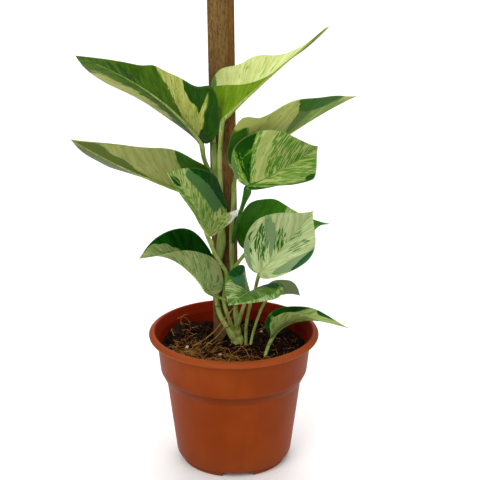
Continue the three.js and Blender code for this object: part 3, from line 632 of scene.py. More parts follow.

# The colours of each leaf, and where they lie. A patch is the place of its middle, its reach
# each way, and how much it adds to which colours. The place is a share from base (0) to tip (1)
# and a share out from the midrib, with the left below 0 and the right above. Behind the base the
# first share runs below 0, round the lobe.
# Each leaf's margin colour and its share paint a thin paler edge: partly the blade's own margin, partly a
# painted edge highlight.
PAINT = {
    "leaf_top_left": dict(
        green="32540A", light="4A6E14", deep="184604", dark="103804", grey="56702E",
        cream="9CA14C", bright="B2B664", fleck="5C8020", rib="587A20", margin_and_edge_highlight="7C9040",
        margin_and_edge_highlight_share=0.12, under="7E8C44", base=dict(cream=0.12, deep=0.2, grey=0.12, fleck=0.3),
        patches=[
            (0.42, -0.98, 0.1, 0.3, dict(cream=0.8)), (0.34, -0.75, 0.1, 0.3, dict(cream=0.9)),
            (0.25, -0.5, 0.13, 0.32, dict(cream=0.9)), (0.16, -0.3, 0.16, 0.34, dict(cream=0.9)),
            (0.1, -0.12, 0.13, 0.24, dict(cream=0.9)), (0.38, 0.75, 0.5, 0.6, dict(cream=0.7)),
            (0.2, -0.96, 0.12, 0.32, dict(deep=1.6, cream=-2)),
            (-0.42, -0.6, 0.6, 1.6, dict(deep=1.6)), (-0.42, -0.6, 0.58, 1.6, dict(cream=-2.4)),
            (0.1, -0.7, 0.02, 0.26, dict(cream=3, deep=-3)),
            (0.08, -0.42, 0.05, 0.16, dict(cream=3, deep=-3)),
            (0.8, -0.4, 0.3, 0.6, dict(deep=0.25)), (-0.4, 0.6, 0.5, 0.6, dict(deep=0.6)),
        ],
    ),
    "leaf_upper_left": dict(
        green="6A7E38", light="808F48", deep="2A5610", dark="1E4A0C", grey="4E5C26",
        cream="82874A", bright="949858", fleck="66803A", rib="8E9A50", margin_and_edge_highlight="8E9454",
        margin_and_edge_highlight_share=0.12, under="848C50", base=dict(cream=0.85, deep=-0.1, grey=-0.2, fleck=0.25),
        patches=[
            (0.85, -0.4, 0.17, 0.66, dict(grey=1.5, cream=-1.2)),
            (0.68, -0.15, 0.17, 0.36, dict(grey=1.5, cream=-1.2)),
            (0.55, 0, 0.16, 0.18, dict(grey=1.3, cream=-1.2)),
            (0.6, 0.6, 0.5, 0.7, dict(grey=1.0, cream=-0.7)),
            (0.0, -0.98, 0.2, 0.5, dict(deep=1.8, cream=-2)),
            (-0.4, -0.7, 0.4, 0.6, dict(deep=1.2, cream=-1)),
        ],
    ),
    "leaf_centre_left": dict(
        green="4C7A2C", light="6A9040", deep="0C470A", dark="063606", grey="466C38",
        cream="929F55", bright="AEB874", fleck="4E7E24", rib="90A658", margin_and_edge_highlight="A0B06C",
        margin_and_edge_highlight_share=0.12, under="7C8C50", base=dict(cream=0.88, deep=-0.1, grey=0, fleck=0.6),
        patches=[
            (0.2, 1.05, 0.5, 0.36, dict(deep=2, cream=-2)),
            (0.3, 0.72, 0.45, 0.36, dict(grey=1.6, cream=-1.5)),
            (0.86, -0.3, 0.13, 0.7, dict(deep=1.6, cream=-1.6)),
            (0.5, -0.7, 0.4, 0.6, dict(fleck=0.35)), (0.15, 0.1, 0.25, 0.4, dict(fleck=0.2)),
            (-0.46, 1.05, 0.1, 0.24, dict(white=3)), (-0.48, 1.0, 0.16, 0.24, dict(cream=1)),
            (-0.5, 1.0, 0.2, 0.24, dict(fleck=-2)), (-0.75, 0.9, 0.12, 0.3, dict(deep=1.2)),
        ],
    ),
    "leaf_top_right": dict(
        green="587810", light="6C8A1C", deep="2A5510", dark="1C400C", grey="5C7A3C",
        cream="B6BE72", bright="CCD28E", fleck="84A43C", rib="A4B650", margin_and_edge_highlight="B0C06C",
        margin_and_edge_highlight_share=0.1, under="6A841A", base=dict(cream=-0.2, deep=0.0, grey=-0.2, fleck=0.0),
        patches=[
            (0.4, -0.8, 0.7, 0.75, dict(cream=2.2)), (-0.06, -0.98, 0.2, 0.3, dict(grey=1.6)),
            (-0.06, -0.98, 0.18, 0.26, dict(cream=-1.6)), (0.4, -0.7, 0.3, 0.4, dict(fleck=0.25)),
            (0.9, 0, 0.12, 1.0, dict(deep=0.8)), (0.9, 0, 0.12, 1.2, dict(cream=-1.6)),
        ],
    ),
    "leaf_upper_right": dict(
        green="587A22", light="728E34", deep="2C5E10", dark="204E0A", grey="4C6428",
        cream="989E52", bright="AAAF62", fleck="6C8838", rib="96A45C", margin_and_edge_highlight="9CA462",
        margin_and_edge_highlight_share=0.12, under="848E4A", base=dict(cream=0.6, deep=0.0, grey=0.0, fleck=0.3),
        patches=[
            (-0.38, 0, 0.38, 1.6, dict(deep=1.6, cream=-1.8)),
            (0.46, 0.98, 0.24, 0.4, dict(deep=1.8, cream=-1.8)),
            (0.37, 0.6, 0.07, 0.6, dict(grey=1.2, cream=-1.4)),
            (0.37, -0.6, 0.07, 0.6, dict(grey=1.2, cream=-1.4)),
            (0.13, 0.7, 0.22, 0.6, dict(cream=0.8)), (0.13, -0.7, 0.22, 0.6, dict(cream=0.8)),
            (0.6, 0.2, 0.3, 0.8, dict(cream=-0.35)),
            (-0.12, 0.98, 0.12, 0.16, dict(cream=2.6, deep=-2.4)),
        ],
    ),
    "leaf_right": dict(
        green="4E7A1E", light="6C9136", deep="1B4C04", dark="103A03", grey="54703C",
        cream="98A45A", bright="AEB870", fleck="4A7A1E", rib="90A65C", margin_and_edge_highlight="A0AC68",
        margin_and_edge_highlight_share=0.2, under="76884A", base=dict(cream=0.98, deep=-0.05, grey=0.0, fleck=0.85),
        patches=[
            (-0.14, -0.5, 0.23, 1.6, dict(deep=0.62, cream=-1.0)),
            (-0.55, -0.95, 0.22, 0.36, dict(grey=1.6, cream=-0.8)),
            (0.17, -0.6, 0.08, 1.2, dict(cream=0.9)), (0.17, -0.6, 0.1, 1.2, dict(fleck=-0.8)),
            (0.3, 1.0, 0.16, 0.2, dict(deep=2, cream=-2)),
            (-0.1, 1.02, 0.5, 0.12, dict(deep=2, cream=-2)),
            (-0.6, 0.7, 0.3, 0.6, dict(deep=1.2, cream=-1)),
        ],
    ),
    "leaf_dark_right": dict(
        green="34701A", light="447C22", deep="3C760C", dark="2E6406", grey="4A743A",
        cream="94A85C", bright="A8B870", fleck="5C8A34", rib="4A7A28", margin_and_edge_highlight="5A8634",
        margin_and_edge_highlight_share=0.1, under="3C6A1C", base=dict(cream=-0.3, deep=0.62, grey=-0.2, fleck=0.5),
        patches=[(0.56, -0.85, 0.12, 0.3, dict(cream=1.6, deep=-0.8))],
    ),
    "leaf_round_right": dict(
        green="5E8A4A", light="7A9E60", deep="1A5526", dark="10421A", grey="7C9466",
        cream="A8B67A", bright="C4D09A", fleck="2C641A", rib="A2B482", margin_and_edge_highlight="86A074",
        margin_and_edge_highlight_share=0.2, under="88985E", base=dict(cream=0.78, deep=-0.2, grey=-0.1, fleck=0.0),
        patches=[
            (0.1, -0.5, 0.2, 0.45, dict(fleck=0.9)), (0.42, -0.3, 0.14, 0.36, dict(fleck=0.85)),
            (0.62, 0.2, 0.14, 0.36, dict(fleck=0.65)), (0.4, 0.55, 0.14, 0.36, dict(fleck=0.7)),
            (-0.2, -0.75, 0.2, 0.3, dict(fleck=0.6)), (0.4, 0.4, 0.4, 0.5, dict(cream=0.5)),
            (0.28, -0.5, 0.11, 0.5, dict(grey=1.0, cream=-0.5)),
            (-0.5, -0.85, 0.4, 0.4, dict(grey=1.2, cream=-0.5)),
            (-0.1, 0.72, 0.34, 0.36, dict(grey=1.0, cream=-0.8)),
            (0.0, 1.04, 0.26, 0.26, dict(deep=2.2, cream=-2.2)),
        ],
    ),
    "leaf_low_left": dict(
        green="3C7222", light="588834", deep="104A08", dark="073404", grey="4A7038",
        cream="828C56", bright="969E68", fleck="4E7C34", rib="8C9E60", margin_and_edge_highlight="98A66C",
        margin_and_edge_highlight_share=0.12, under="6C7E48", base=dict(cream=0.72, deep=-0.1, grey=0.05, fleck=0.55),
        patches=[
            (0.28, 0.8, 0.62, 0.62, dict(deep=1.8, cream=-1.8)),
            (0.74, 0.7, 0.12, 0.24, dict(cream=2.4, deep=-2)),
            (0.6, 0.54, 0.13, 0.2, dict(cream=2.4, deep=-2)),
            (0.44, 0.42, 0.12, 0.12, dict(cream=2.4, deep=-2)),
            (0.18, 0.36, 0.3, 0.26, dict(deep=-1.3)),
            (-0.5, 0.7, 0.5, 0.8, dict(deep=1.5, cream=-1.5)),
        ],
    ),
    "leaf_front": dict(
        green="386418", light="5A7E30", deep="18521E", dark="0E3E14", grey="3A6C40",
        cream="96A668", bright="AEBC80", fleck="4C7E2C", rib="8EAC68", margin_and_edge_highlight="98AC70",
        margin_and_edge_highlight_share=0.15, under="6C8C4C", base=dict(cream=0.4, deep=0.05, grey=0.0, fleck=0.7),
        patches=[
            (0.02, 0.98, 0.26, 0.36, dict(deep=1.7, cream=-1.4)),
            (0.12, 0.64, 0.24, 0.3, dict(grey=1.5, cream=-1.2)),
            (-0.5, -0.9, 0.26, 0.3, dict(deep=1.6, cream=-1.2)),
            (-0.1, -0.6, 0.2, 0.3, dict(deep=1.1)), (0.45, 0.6, 0.25, 0.4, dict(cream=0.35)),
            (0.4, -0.95, 0.5, 0.14, dict(cream=1.0)),
        ],
    ),
    "leaf_small_right": dict(
        green="667846", light="748452", deep="4A683A", dark="3E5C30", grey="6A7A4E",
        cream="848F62", bright="929B6E", fleck="647E48", rib="84905F", margin_and_edge_highlight="8A9668",
        margin_and_edge_highlight_share=0.12, under="6E7C54", base=dict(cream=0.2, deep=-0.1, grey=0.6, fleck=0.3),
        patches=[],
    ),
    "leaf_rim_right": dict(
        green="447C1C", light="628F2E", deep="1A5010", dark="0F3C0A", grey="5A7A40",
        cream="929D56", bright="A4AE6A", fleck="5A8630", rib="94A868", margin_and_edge_highlight="9CAA68",
        margin_and_edge_highlight_share=0.15, under="88985C", base=dict(cream=0.74, deep=-0.1, grey=0.0, fleck=0.45),
        patches=[
            (-0.5, -0.7, 0.45, 0.8, dict(deep=1.2, cream=-1.2)),
            (0.12, -0.98, 0.24, 0.4, dict(deep=1.8, cream=-1.8)),
            (0.62, -1.02, 0.16, 0.3, dict(deep=2, cream=-2)),
            (0.3, -0.6, 0.14, 0.3, dict(grey=0.8)),
        ],
    ),
}

# Two kinds of stalk, each with its pale, green and dark streaks
STALKS = {
    "pale": ("A2AE62", "849A42", "5C7A28"),
    "dark": ("3A6620", "2A5618", "1C4410"),
}
DARK_STALKS = ("leaf_right",)


def curve_point(handles, share):
    """A point of a Bezier curve of any degree."""
    row = list(handles)
    while len(row) > 1:
        row = [a + (b - a) * share for a, b in zip(row, row[1:])]
    return row[0]


class Midrib:
    """The midrib's curve, with the directions along it, out to the right and up."""

    def __init__(self, leaf):
        base, tip = Vector(leaf["base"]), Vector(leaf["tip"])
        chord = tip - base
        self.roll = [math.radians(turn) for turn in leaf["roll"]]
        _, up, right = self.frame_of(chord.normalized(), sum(self.roll) / 2)
        handle = base + chord * leaf["bow_at"] + up * (2 * leaf["bow"]) + right * (2 * leaf["sway"])
        self.handles = [base, handle, tip]
        marks = [curve_point(self.handles, i / MIDRIB_STEPS) for i in range(MIDRIB_STEPS + 1)]
        self.marks = [0]
        for a, b in zip(marks, marks[1:]):
            self.marks.append(self.marks[-1] + (b - a).length)
        self.length = self.marks[-1]

    @staticmethod
    def frame_of(along, roll):
        """Along, up and right for a direction, turned about it by the roll."""
        level = (UP - along * along.z).normalized()
        side = along.cross(level)
        up = level * math.cos(roll) + side * math.sin(roll)
        right = side * math.cos(roll) - level * math.sin(roll)
        return along, up, right

    def at(self, distance):
        """The point at a distance from the base, the directions there and its share of the way."""
        share = min(max(distance / self.length, 0), 1)
        base, handle, tip = self.handles
        tangent = ((handle - base) * (1 - share) + (tip - handle) * share).normalized()
        turn = self.roll[0] + (self.roll[1] - self.roll[0]) * share
        along, up, right = self.frame_of(tangent, turn)
        point = curve_point(self.handles, share) + along * min(distance, 0)
        return point, along, up, right, share


def half_rows(leaf, length, half):
    """Rows of one half blade: its share from base to tip, its place along the midrib, its edge."""
    width, _, _, lobe, widest, flare = half
    lobe_edge = [
        Vector((0, 0)), Vector((-1.25 * lobe, 0.1 * width)),
        Vector((-0.95 * lobe, flare * width)), Vector((widest * length, width)),
    ]
    side_edge = [
        Vector((widest * length, width)), Vector((leaf["shoulder"] * length, width)),
        Vector((0.8 * length, leaf["taper"] * width)), Vector((length, 0)),
    ]
    rows = []
    for i in range(1, LOBE_ROWS + 1):
        share = i / LOBE_ROWS
        rows.append((share - 1, 0, curve_point(lobe_edge, share)))
    for i in range(1, SIDE_ROWS + 1):
        share = i / SIDE_ROWS
        rows.append((share, length * share ** VEIN_LAG, curve_point(side_edge, share)))
    return rows


def blade_point(leaf, midrib, side, half, along, across):
    """A point of the blade in space: a half folds up from the midrib, curls on and waves."""
    width, fold_angle, curl_angle = half[:3]
    point, _, up, right, share = midrib.at(along)
    curl = math.radians(curl_angle)
    fold = math.radians(fold_angle) * (1 + (leaf["tip_fold"] - 1) * share)
    out = across / width
    reach = width / curl
    sideways = reach * (math.sin(fold + curl * out) - math.sin(fold))
    lift = reach * (math.cos(fold) - math.cos(fold + curl * out))
    height, count, phase = leaf["wave"]
    wave = math.sin(2 * math.pi * count * (along / midrib.length) + phase + side)
    return point + right * (side * sideways) + up * (lift + height * out * out * wave)


def patch_strength(place, along, out):
    """1 in the middle of a patch, falling to 0 at about its reach."""
    middle_along, middle_out, reach_along, reach_out = place
    off = math.hypot((along - middle_along) / reach_along, (out - middle_out) / reach_out)
    return 1 - smooth(0.55, 1.1, off)


def paint_at(paint, along, out):
    """How much there is of each field at a place on the blade."""
    amounts = {field: paint["base"].get(field, 0) for field in BLADE_FIELDS}
    for *place, changes in paint["patches"]:
        strength = patch_strength(place, along, out)
        for field, change in changes.items():
            amounts[field] += change * strength
    return amounts


def bulge_at(leaf, side, share, out):
    """How far the bulges of one side stretch the blade outwards here, and how they shift it."""
    stretch, shift = 1, Vector()
    for where, middle, reach, growth, *moved in leaf.get("bulges", []):
        if where == side:
            near = out * math.exp(-((share - middle) / reach) ** 2)
            stretch += growth * near
            shift += out * near * Vector(moved[0] if moved else (0, 0, 0))
    return stretch, shift


def thickened(points, faces, edges):
    """A closed skin either side of a sheet, thinnest where the sheet's edge value is 1."""
    normals = [Vector() for _ in points]
    for face in faces:
        a, b, c = (points[n] for n in face[:3])
        normal = (b - a).cross(c - a)
        for n in face:
            normals[n] += normal
    skins = []
    for turn in (1, -1):
        for point, normal, out in zip(points, normals, edges):
            half_thickness = (BLADE_THICKNESS + (EDGE_THICKNESS - BLADE_THICKNESS) * out ** 4) / 2
            skins.append(point + normal.normalized() * (turn * half_thickness))
    count = len(points)
    directed = {(a, b) for face in faces for a, b in zip(face, face[1:] + face[:1])}
    skin_faces = []
    for face in faces:
        skin_faces += [face, [n + count for n in reversed(face)]]
        for a, b in zip(face, face[1:] + face[:1]):
            if (b, a) not in directed:
                skin_faces.append([b, a, a + count, b + count])
    return skins, skin_faces


def make_blade(name, leaf, seed):
    """The blade as a closed skin of two faces, with its paint kept at each point."""
    midrib = Midrib(leaf)
    paint = PAINT[name]
    points, faces, veins, edges = [], [], [], []
    fields = {field: [] for field in BLADE_FIELDS}
    numbers = {}

    def number(side, row, column, share, root, edge, width):
        """A point's number. Both halves share the points on the midrib."""
        out = column / COLUMNS
        stretch, shift = bulge_at(leaf, side, share, out)
        along = root + (edge.x - root) * out * stretch
        across = edge.y * out * stretch
        on_midrib = column == 0 or across < 1e-6
        key = ("midrib", round(along, 4)) if on_midrib else (side, row, column)
        if key not in numbers:
            numbers[key] = len(points)
            half = leaf["right"] if side > 0 else leaf["left"]
            points.append(blade_point(leaf, midrib, side, half, along, across) + shift)
            share = 0 if on_midrib and share < 0 else share
            lean = VEIN_LEAN * across * smooth(-0.3, 0.35, share)
            veins.append((share * (midrib.length if share > 0 else width) - lean, side * across, seed))
            edges.append(0 if on_midrib else out)
            for field, amount in paint_at(paint, share, side * out).items():
                fields[field].append(amount)
        return numbers[key]

    for side in (-1, 1):
        half = leaf["right"] if side > 0 else leaf["left"]
        rows = [
            [number(side, i, j, share, root, edge, half[0]) for j in range(COLUMNS + 1)]
            for i, (share, root, edge) in enumerate(half_rows(leaf, midrib.length, half))
        ]
        for near, far in zip(rows, rows[1:]):
            for j in range(COLUMNS):
                corners = [near[j], near[j + 1], far[j + 1], far[j]]
                corners = [c for k, c in enumerate(corners) if c != corners[k - 1]]
                if len(corners) > 2:
                    faces.append(corners if side > 0 else corners[::-1])

    skins, skin_faces = thickened(points, faces, edges)
    material = living_leaf("living_" + name + "_waxy_skin", paint)
    piece = make_piece(name + "_blade", [LEAN @ p for p in skins], skin_faces, material, crease=70)
    store(piece.data, "vein", veins * 2, "FLOAT_VECTOR")
    store(piece.data, "rim", edges * 2)
    store(piece.data, "under", [0.0] * len(points) + [1.0] * len(points))
    for field, amounts in fields.items():
        store(piece.data, field, amounts * 2)
    return piece, midrib


# How much thicker a stalk is at its foot and at its knee under the blade, and how far along
FOOT_SWELL = (0.22, 9)
KNEE_SWELL = (0.16, 5)
# How the ridge under the blade sinks away and thins towards the tip
RIDGE_FADE = 0.85
RIDGE_CURVE = 0.6


def swell(swelling, distance):
    """What a swelling of a growth and a reach adds at a distance from its middle."""
    growth, reach = swelling
    return growth * math.exp(-(distance / reach) ** 2)


def make_stalk(name, leaf, midrib, material):
    """The stalk, swollen a little at both ends, runs on under the blade as a fading midrib."""
    radius = leaf["radius"]
    points = list(leaf["stalk"])
    for share in (0, 0.1, 0.2, 0.3, 0.4, 0.5, 0.6, 0.7, 0.8, RIDGE_END):
        point, _, up, _, _ = midrib.at(share * midrib.length)
        sunk = 0.5 * (1 - RIDGE_FADE * smooth(0, RIDGE_END, share) ** RIDGE_CURVE)
        points.append(point - up * radius * sunk)
    path = smooth_path(points, 2.2)
    distance = [0]
    for a, b in zip(path, path[1:]):
        distance.append(distance[-1] + (b - a).length)
    knee = distance[-1] - midrib.length * RIDGE_END
    girths = []
    for d in distance:
        swollen = swell(KNEE_SWELL, d - knee) + swell(FOOT_SWELL, d)
        fade = 1 - smooth(knee, distance[-1], d) ** RIDGE_CURVE * RIDGE_FADE if d > knee else 1
        sheath = leaf.get("sheath", 0) * smooth(0.5, 0.85, d / knee) * (1 - smooth(0.9, 1.05, d / knee))
        girths.append(radius * (0.94 + swollen) * fade + sheath)
    return make_tube(name + "_stalk", path, girths, material)


def make_leaves():
    stalks = {
        kind: living_stalk("living_stalk_" + kind, *colours) for kind, colours in STALKS.items()
    }
    for seed, (name, leaf) in enumerate(LEAVES.items()):
        blade, midrib = make_blade(name, leaf, 10.0 * seed + 3)
        stalk = make_stalk(name, leaf, midrib, stalks["dark" if name in DARK_STALKS else "pale"])
        for piece in (blade, stalk):
            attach(piece, "root")
            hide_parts(name)


# The stem

# Each shoot's radius, and its path from its foot in the soil to its top
SHOOTS = {
    "stem_left_shoot": (1.9, [
        (4, 13, 66), (1.5, 11.5, 81), (-0.9, 8.6, 88), (-4.8, 6, 97), (-9.5, 7.4, 106), (-11.5, 9, 118),
        (-11, 9.4, 135), (-9, 8, 153.5), (-8, 7.4, 166.5), (-10, 8.4, 191.5), (-12, 9.6, 213),
        (-13.3, 10.2, 233), (-14, 10.6, 247),
    ]),
    "stem_right_shoot": (1.6, [
        (6.5, 12.5, 68), (4, 12.8, 83), (2.6, 9.2, 93), (1.8, 7, 103), (1, 6.4, 113.5),
        (-0.5, 6, 128.5), (-1, 6, 142.5), (-1, 6, 176.5), (0, 6, 189), (0.5, 6.4, 206.5),
    ]),
}
# Swellings where leaves and shoots leave the stem: middle, radius and height
SWELLINGS = [
    ((1, 8.5, 90.5), 3.1, 5), ((2.6, 12.3, 82.5), 3.5, 4.5), ((-8.6, 7.3, 160), 3.1, 13),
    ((1.9, 6.8, 104.6), 2.2, 4), ((-10.6, 8.8, 197), 2.9, 24),
]
SWELLING_REACH = 4
# Joints along each shoot: a slight ring with a corky scar
RING_HALF = 0.9
RING_GROWTH = 0.28
JOINT_HEIGHTS = {
    "stem_left_shoot": (97, 112, 131, 148, 172, 190, 205, 232),
    "stem_right_shoot": (96, 114, 140, 162, 200),
}


def make_stem():
    material = living_stem()
    for name, (radius, points) in SHOOTS.items():
        path = smooth_path(points, 0.9)
        girths, joints = [], []
        for point in path:
            girth = radius
            for middle, swollen, height in SWELLINGS:
                off = point - Vector(middle)
                near = math.exp(-(off.z / height) ** 2 - (math.hypot(off.x, off.y) / SWELLING_REACH) ** 2)
                girth = max(girth, radius + (swollen - radius) * near)
            ring = sum(swell((1, RING_HALF), point.z - z) for z in JOINT_HEIGHTS[name])
            to_top = smooth(0, 3, points[-1][2] - point.z)
            girths.append((girth + RING_GROWTH * ring) * (0.35 + 0.65 * to_top))
            joints.append(min(1, ring + 0.35 * (girth - radius)))
        piece = make_tube(name, path, girths, material, sides=16, joints=joints)
        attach(piece, "root")
        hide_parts("stem")


# Roots grown in the air and loose fibres: girth, then the path
ROOTS = {
    "aerial_root_long": (0.42, [
        (1.7, 4, 113.9), (-1, 1, 112.4), (-4.5, -1.5, 109), (-8.6, -3, 104), (-13.5, -4, 98),
        (-20, -3, 91.5), (-27, 0, 85.5), (-30.5, 3, 82),
    ]),
    "aerial_root_short": (0.3, [
        (-1, 2.5, 106), (-6, -2.6, 101), (-12, -4.6, 94), (-19, -4.4, 87.6), (-24, -4, 82.6),
    ]),
    "loose_fibre": (0.22, [(5.5, -2.2, 85.5), (8, -8, 86.6), (10, -15, 86.2), (12.4, -23, 84)]),
    "standing_fibre_left": (0.2, [(-36, 26, 86), (-38, 28, 90), (-36.5, 29, 93.5), (-33, 29.5, 95)]),
    "standing_fibre_back": (0.2, [(-31, 30, 85), (-33, 32, 89), (-37, 31, 92), (-40, 27, 92.5)]),
    "standing_fibre_low": (0.2, [(-40, 18, 84), (-43, 20, 87.5), (-44, 16, 89), (-42, 11, 87)]),
}


def make_roots():
    material = dry_fibre("dried_aerial_root", "A88448", "8A6030")
    for name, (girth, points) in ROOTS.items():
        path = smooth_path(points, 0.8)
        piece = make_tube(name, path, [girth] * len(path), material, sides=6)
        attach(piece, "root")


# The stake

STAKE_SIDE = 14.4
STAKE_TURN = 18.4
STAKE_LEAN = 0.7
STAKE_CENTRE = (-5.5, 18.4)
STAKE_TOP = 360
WORN_EDGE = 0.5
# The whittled side: the height where it starts, then the height and the width left at its waist
# and at its point
STAKE_SHOULDER = 95
STAKE_WAIST = (80, 5)
STAKE_POINT = (12, 1.5)
SOIL_LEVEL = 81.2


def make_stake():
    """A square bar with sawn edges worn round, its right side whittled to a point in the soil."""
    half = STAKE_SIDE / 2
    outline = [(-half, STAKE_POINT[0]), (-half + STAKE_POINT[1], STAKE_POINT[0])]
    outline += [(-half + STAKE_WAIST[1], STAKE_WAIST[0]), (half, STAKE_SHOULDER), (half, STAKE_TOP)]
    outline += [(-half, STAKE_TOP)]
    mesh = bpy.data.meshes.new("stake")
    build = bmesh.new()
    front = [build.verts.new((x, -half, z)) for x, z in outline]
    back = [build.verts.new((x, half, z)) for x, z in outline]
    build.faces.new(front)
    build.faces.new(back[::-1])
    for i in range(len(outline)):
        j = (i + 1) % len(outline)
        build.faces.new((front[j], front[i], back[i], back[j]))
    bmesh.ops.recalc_face_normals(build, faces=build.faces)
    turn = Matrix.Translation((*STAKE_CENTRE, SOIL_LEVEL))
    turn @= Matrix.Rotation(math.radians(STAKE_LEAN), 4, "Y").inverted()
    turn @= Matrix.Translation((0, 0, -SOIL_LEVEL))
    turn @= Matrix.Rotation(math.radians(-STAKE_TURN), 4, "Z")
    build.transform(Matrix.Scale(MM, 4) @ turn)
    build.to_mesh(mesh)
    build.free()
    mesh.materials.append(sawn_wood())
    piece = make_object("stake_bar", mesh)
    bevel = piece.modifiers.new("worn edges", "BEVEL")
    bevel.width = WORN_EDGE * MM
    bevel.segments = 2
    bevel.limit_method = "ANGLE"
    piece = settle(piece, "stake_bar", 50)
    front_normal = Matrix.Rotation(math.radians(-STAKE_TURN), 3, "Z") @ Vector((0, -1, 0))
    sheltered = piece.data.attributes.new("sheltered", "FLOAT", "FACE")
    sheltered.data.foreach_set("value", [
        1 - smooth(0.3, 0.8, face.normal.dot(front_normal)) for face in piece.data.polygons
    ])
    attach(piece, "root")
    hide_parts("stake")


# The pot

POT_SIDES = 160
POT_HEIGHT = 97
# The rolled rim is an oval bead: the radius of its middle, how far it stands out, half its height
# and the degrees that it turns up and down from its outermost line
BEAD_ROOT = 55.6
BEAD_DEPTH = 4.4
BEAD_HALF = 2.7
BEAD_TURN = 80
BEAD_STEPS = 14
FOOT_HEIGHT = 3.4
FOOT_RADIUS = 38.2
FOOT_WIDTH = 2.6
FLOOR = 2
# Notches through the foot ring, and drain holes in a circle in the floor
NOTCH_COUNT = 4
NOTCH_TURN = 4.5
NOTCH_WIDTH = 20
NOTCH_SLANT = 1.6
DRAIN_COUNT = 6
DRAIN_RADIUS = 4
DRAIN_CIRCLE = 24
DRAIN_TURN = 30


def pot_outline():
    """Radius, height and corner radius from the middle underneath, out, over the rim and in."""
    foot_inside = FOOT_RADIUS - FOOT_WIDTH
    outside = [
        (6, 0, 0.3), (6.4, FOOT_HEIGHT, 0.5), (foot_inside - 0.4, FOOT_HEIGHT, 0.5), (foot_inside, 0, 0.3),
        (37.8, 0, 0.4), (38.2, 3.2, 0.3), (40.3, 4.2, 0.7), (41.3, 6.5, 0.9),
        (47.8, 60.2, 0.5), (48.6, 61, 0.4), (51.2, 66.5, 0.4), (52, 68, 0.9),
        (54.4, 90.8, 0.6),
    ]
    middle = POT_HEIGHT - BEAD_HALF
    bead = []
    for i in range(BEAD_STEPS + 1):
        angle = math.radians(BEAD_TURN * (2 * i / BEAD_STEPS - 1))
        bead.append((BEAD_ROOT + BEAD_DEPTH * math.cos(angle), middle + BEAD_HALF * math.sin(angle), 0))
    inside = [
        (56, 96.8, 0), (55.2, 95.6, 0.5), (52.8, 90.2, 0.6), (50.4, 68.8, 0.5), (46.2, 61.8, 0.5),
        (39.7, 8.5, 1), (38.9, 5.4, 0.5),
    ]
    return outside + bead + inside


def rounded(outline):
    """The outline's points, with each corner that has a radius rounded over."""
    points = []
    for i, (r, z, corner) in enumerate(outline):
        here = Vector((r, z))
        if not corner:
            points.append(here)
            continue
        before, after = Vector(outline[i - 1][:2]), Vector(outline[(i + 1) % len(outline)][:2])
        start = here + (before - here).normalized() * min(corner, (before - here).length * 0.45)
        end = here + (after - here).normalized() * min(corner, (after - here).length * 0.45)
        points += [curve_point([start, here, end], k / 3) for k in range(4)]
    return points


def turned_mesh(outline, sides, top, bottom):
    """A closed skin turned about Z from points of radius and height, with a pole at each end."""
    points = [Vector((0, 0, bottom))]
    faces = []
    for r, z in outline:
        for i in range(sides):
            angle = 2 * math.pi * i / sides
            points.append(Vector((r * math.cos(angle), r * math.sin(angle), z)))
    points.append(Vector((0, 0, top)))
    last = len(points) - 1
    for row in range(len(outline) - 1):
        low = 1 + row * sides
        for i in range(sides):
            j = (i + 1) % sides
            faces.append((low + i, low + j, low + sides + j, low + sides + i))
    high = 1 + (len(outline) - 1) * sides
    for i in range(sides):
        j = (i + 1) % sides
        faces.append((0, 1 + j, 1 + i))
        faces.append((high + i, high + j, last))
    return points, faces


def cutter_mesh():
    """The notches in the foot ring and the drain holes, as one mesh of closed prisms."""
    points, faces = [], []

    def prism(first, second):
        """Adds a closed prism between two outlines of as many points."""
        start = len(points)
        points.extend(first + second)
        count = len(first)
        faces.append([start + i for i in range(count)][::-1])
        faces.append([start + count + i for i in range(count)])
        for i in range(count):
            j = (i + 1) % count
            faces.append([start + i, start + j, start + count + j, start + count + i])

    half = NOTCH_WIDTH / 2
    top = FOOT_HEIGHT - 0.2
    outline = [(-half - NOTCH_SLANT, -1), (half + NOTCH_SLANT, -1), (half, top), (-half, top)]
    for i in range(NOTCH_COUNT):
        turn = Matrix.Rotation(math.radians(NOTCH_TURN + i * 360 / NOTCH_COUNT), 3, "Z")
        inner, outer = FOOT_RADIUS - FOOT_WIDTH - 3, FOOT_RADIUS - FOOT_WIDTH + 9
        prism(
            [turn @ Vector((x, -outer, z)) for x, z in outline],
            [turn @ Vector((x, -inner, z)) for x, z in outline],
        )
    for i in range(DRAIN_COUNT):
        turn = math.radians(i * 360 / DRAIN_COUNT + DRAIN_TURN)
        middle = Vector((DRAIN_CIRCLE * math.cos(turn), DRAIN_CIRCLE * math.sin(turn), FOOT_HEIGHT + 1))
        ring = [
            Vector((DRAIN_RADIUS * math.cos(a), DRAIN_RADIUS * math.sin(a), 0))
            for a in (2 * math.pi * k / 32 for k in range(32))
        ]
        prism([middle + p - 3 * UP for p in ring], [middle + p + 3 * UP for p in ring])
    return points, faces


def make_pot():
    material = moulded_polypropylene()
    points, faces = turned_mesh(rounded(pot_outline()), POT_SIDES, FOOT_HEIGHT + FLOOR, 0)
    piece = make_piece("pot_shell", points, faces, material)
    cutter = make_piece("pot_cutter", *cutter_mesh(), material)
    turn_outward(cutter.data)
    cut = piece.modifiers.new("notches and drain holes", "BOOLEAN")
    cut.object = cutter
    cut.operation = "DIFFERENCE"
    cut.solver = "EXACT"
    piece = settle(piece, "pot_shell", 35)
    bpy.data.objects.remove(cutter)
    # Faces that look in towards the middle, which the pot's material paints darker and redder as shade
    inside = piece.data.attributes.new("inside", "FLOAT", "FACE")
    inside.data.foreach_set("value", [
        smooth(0, 0.5, -face.normal.dot(Vector((*face.center.xy, 0)).normalized()))
        for face in piece.data.polygons
    ])
    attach(piece, "root")
    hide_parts("pot")


# The soil

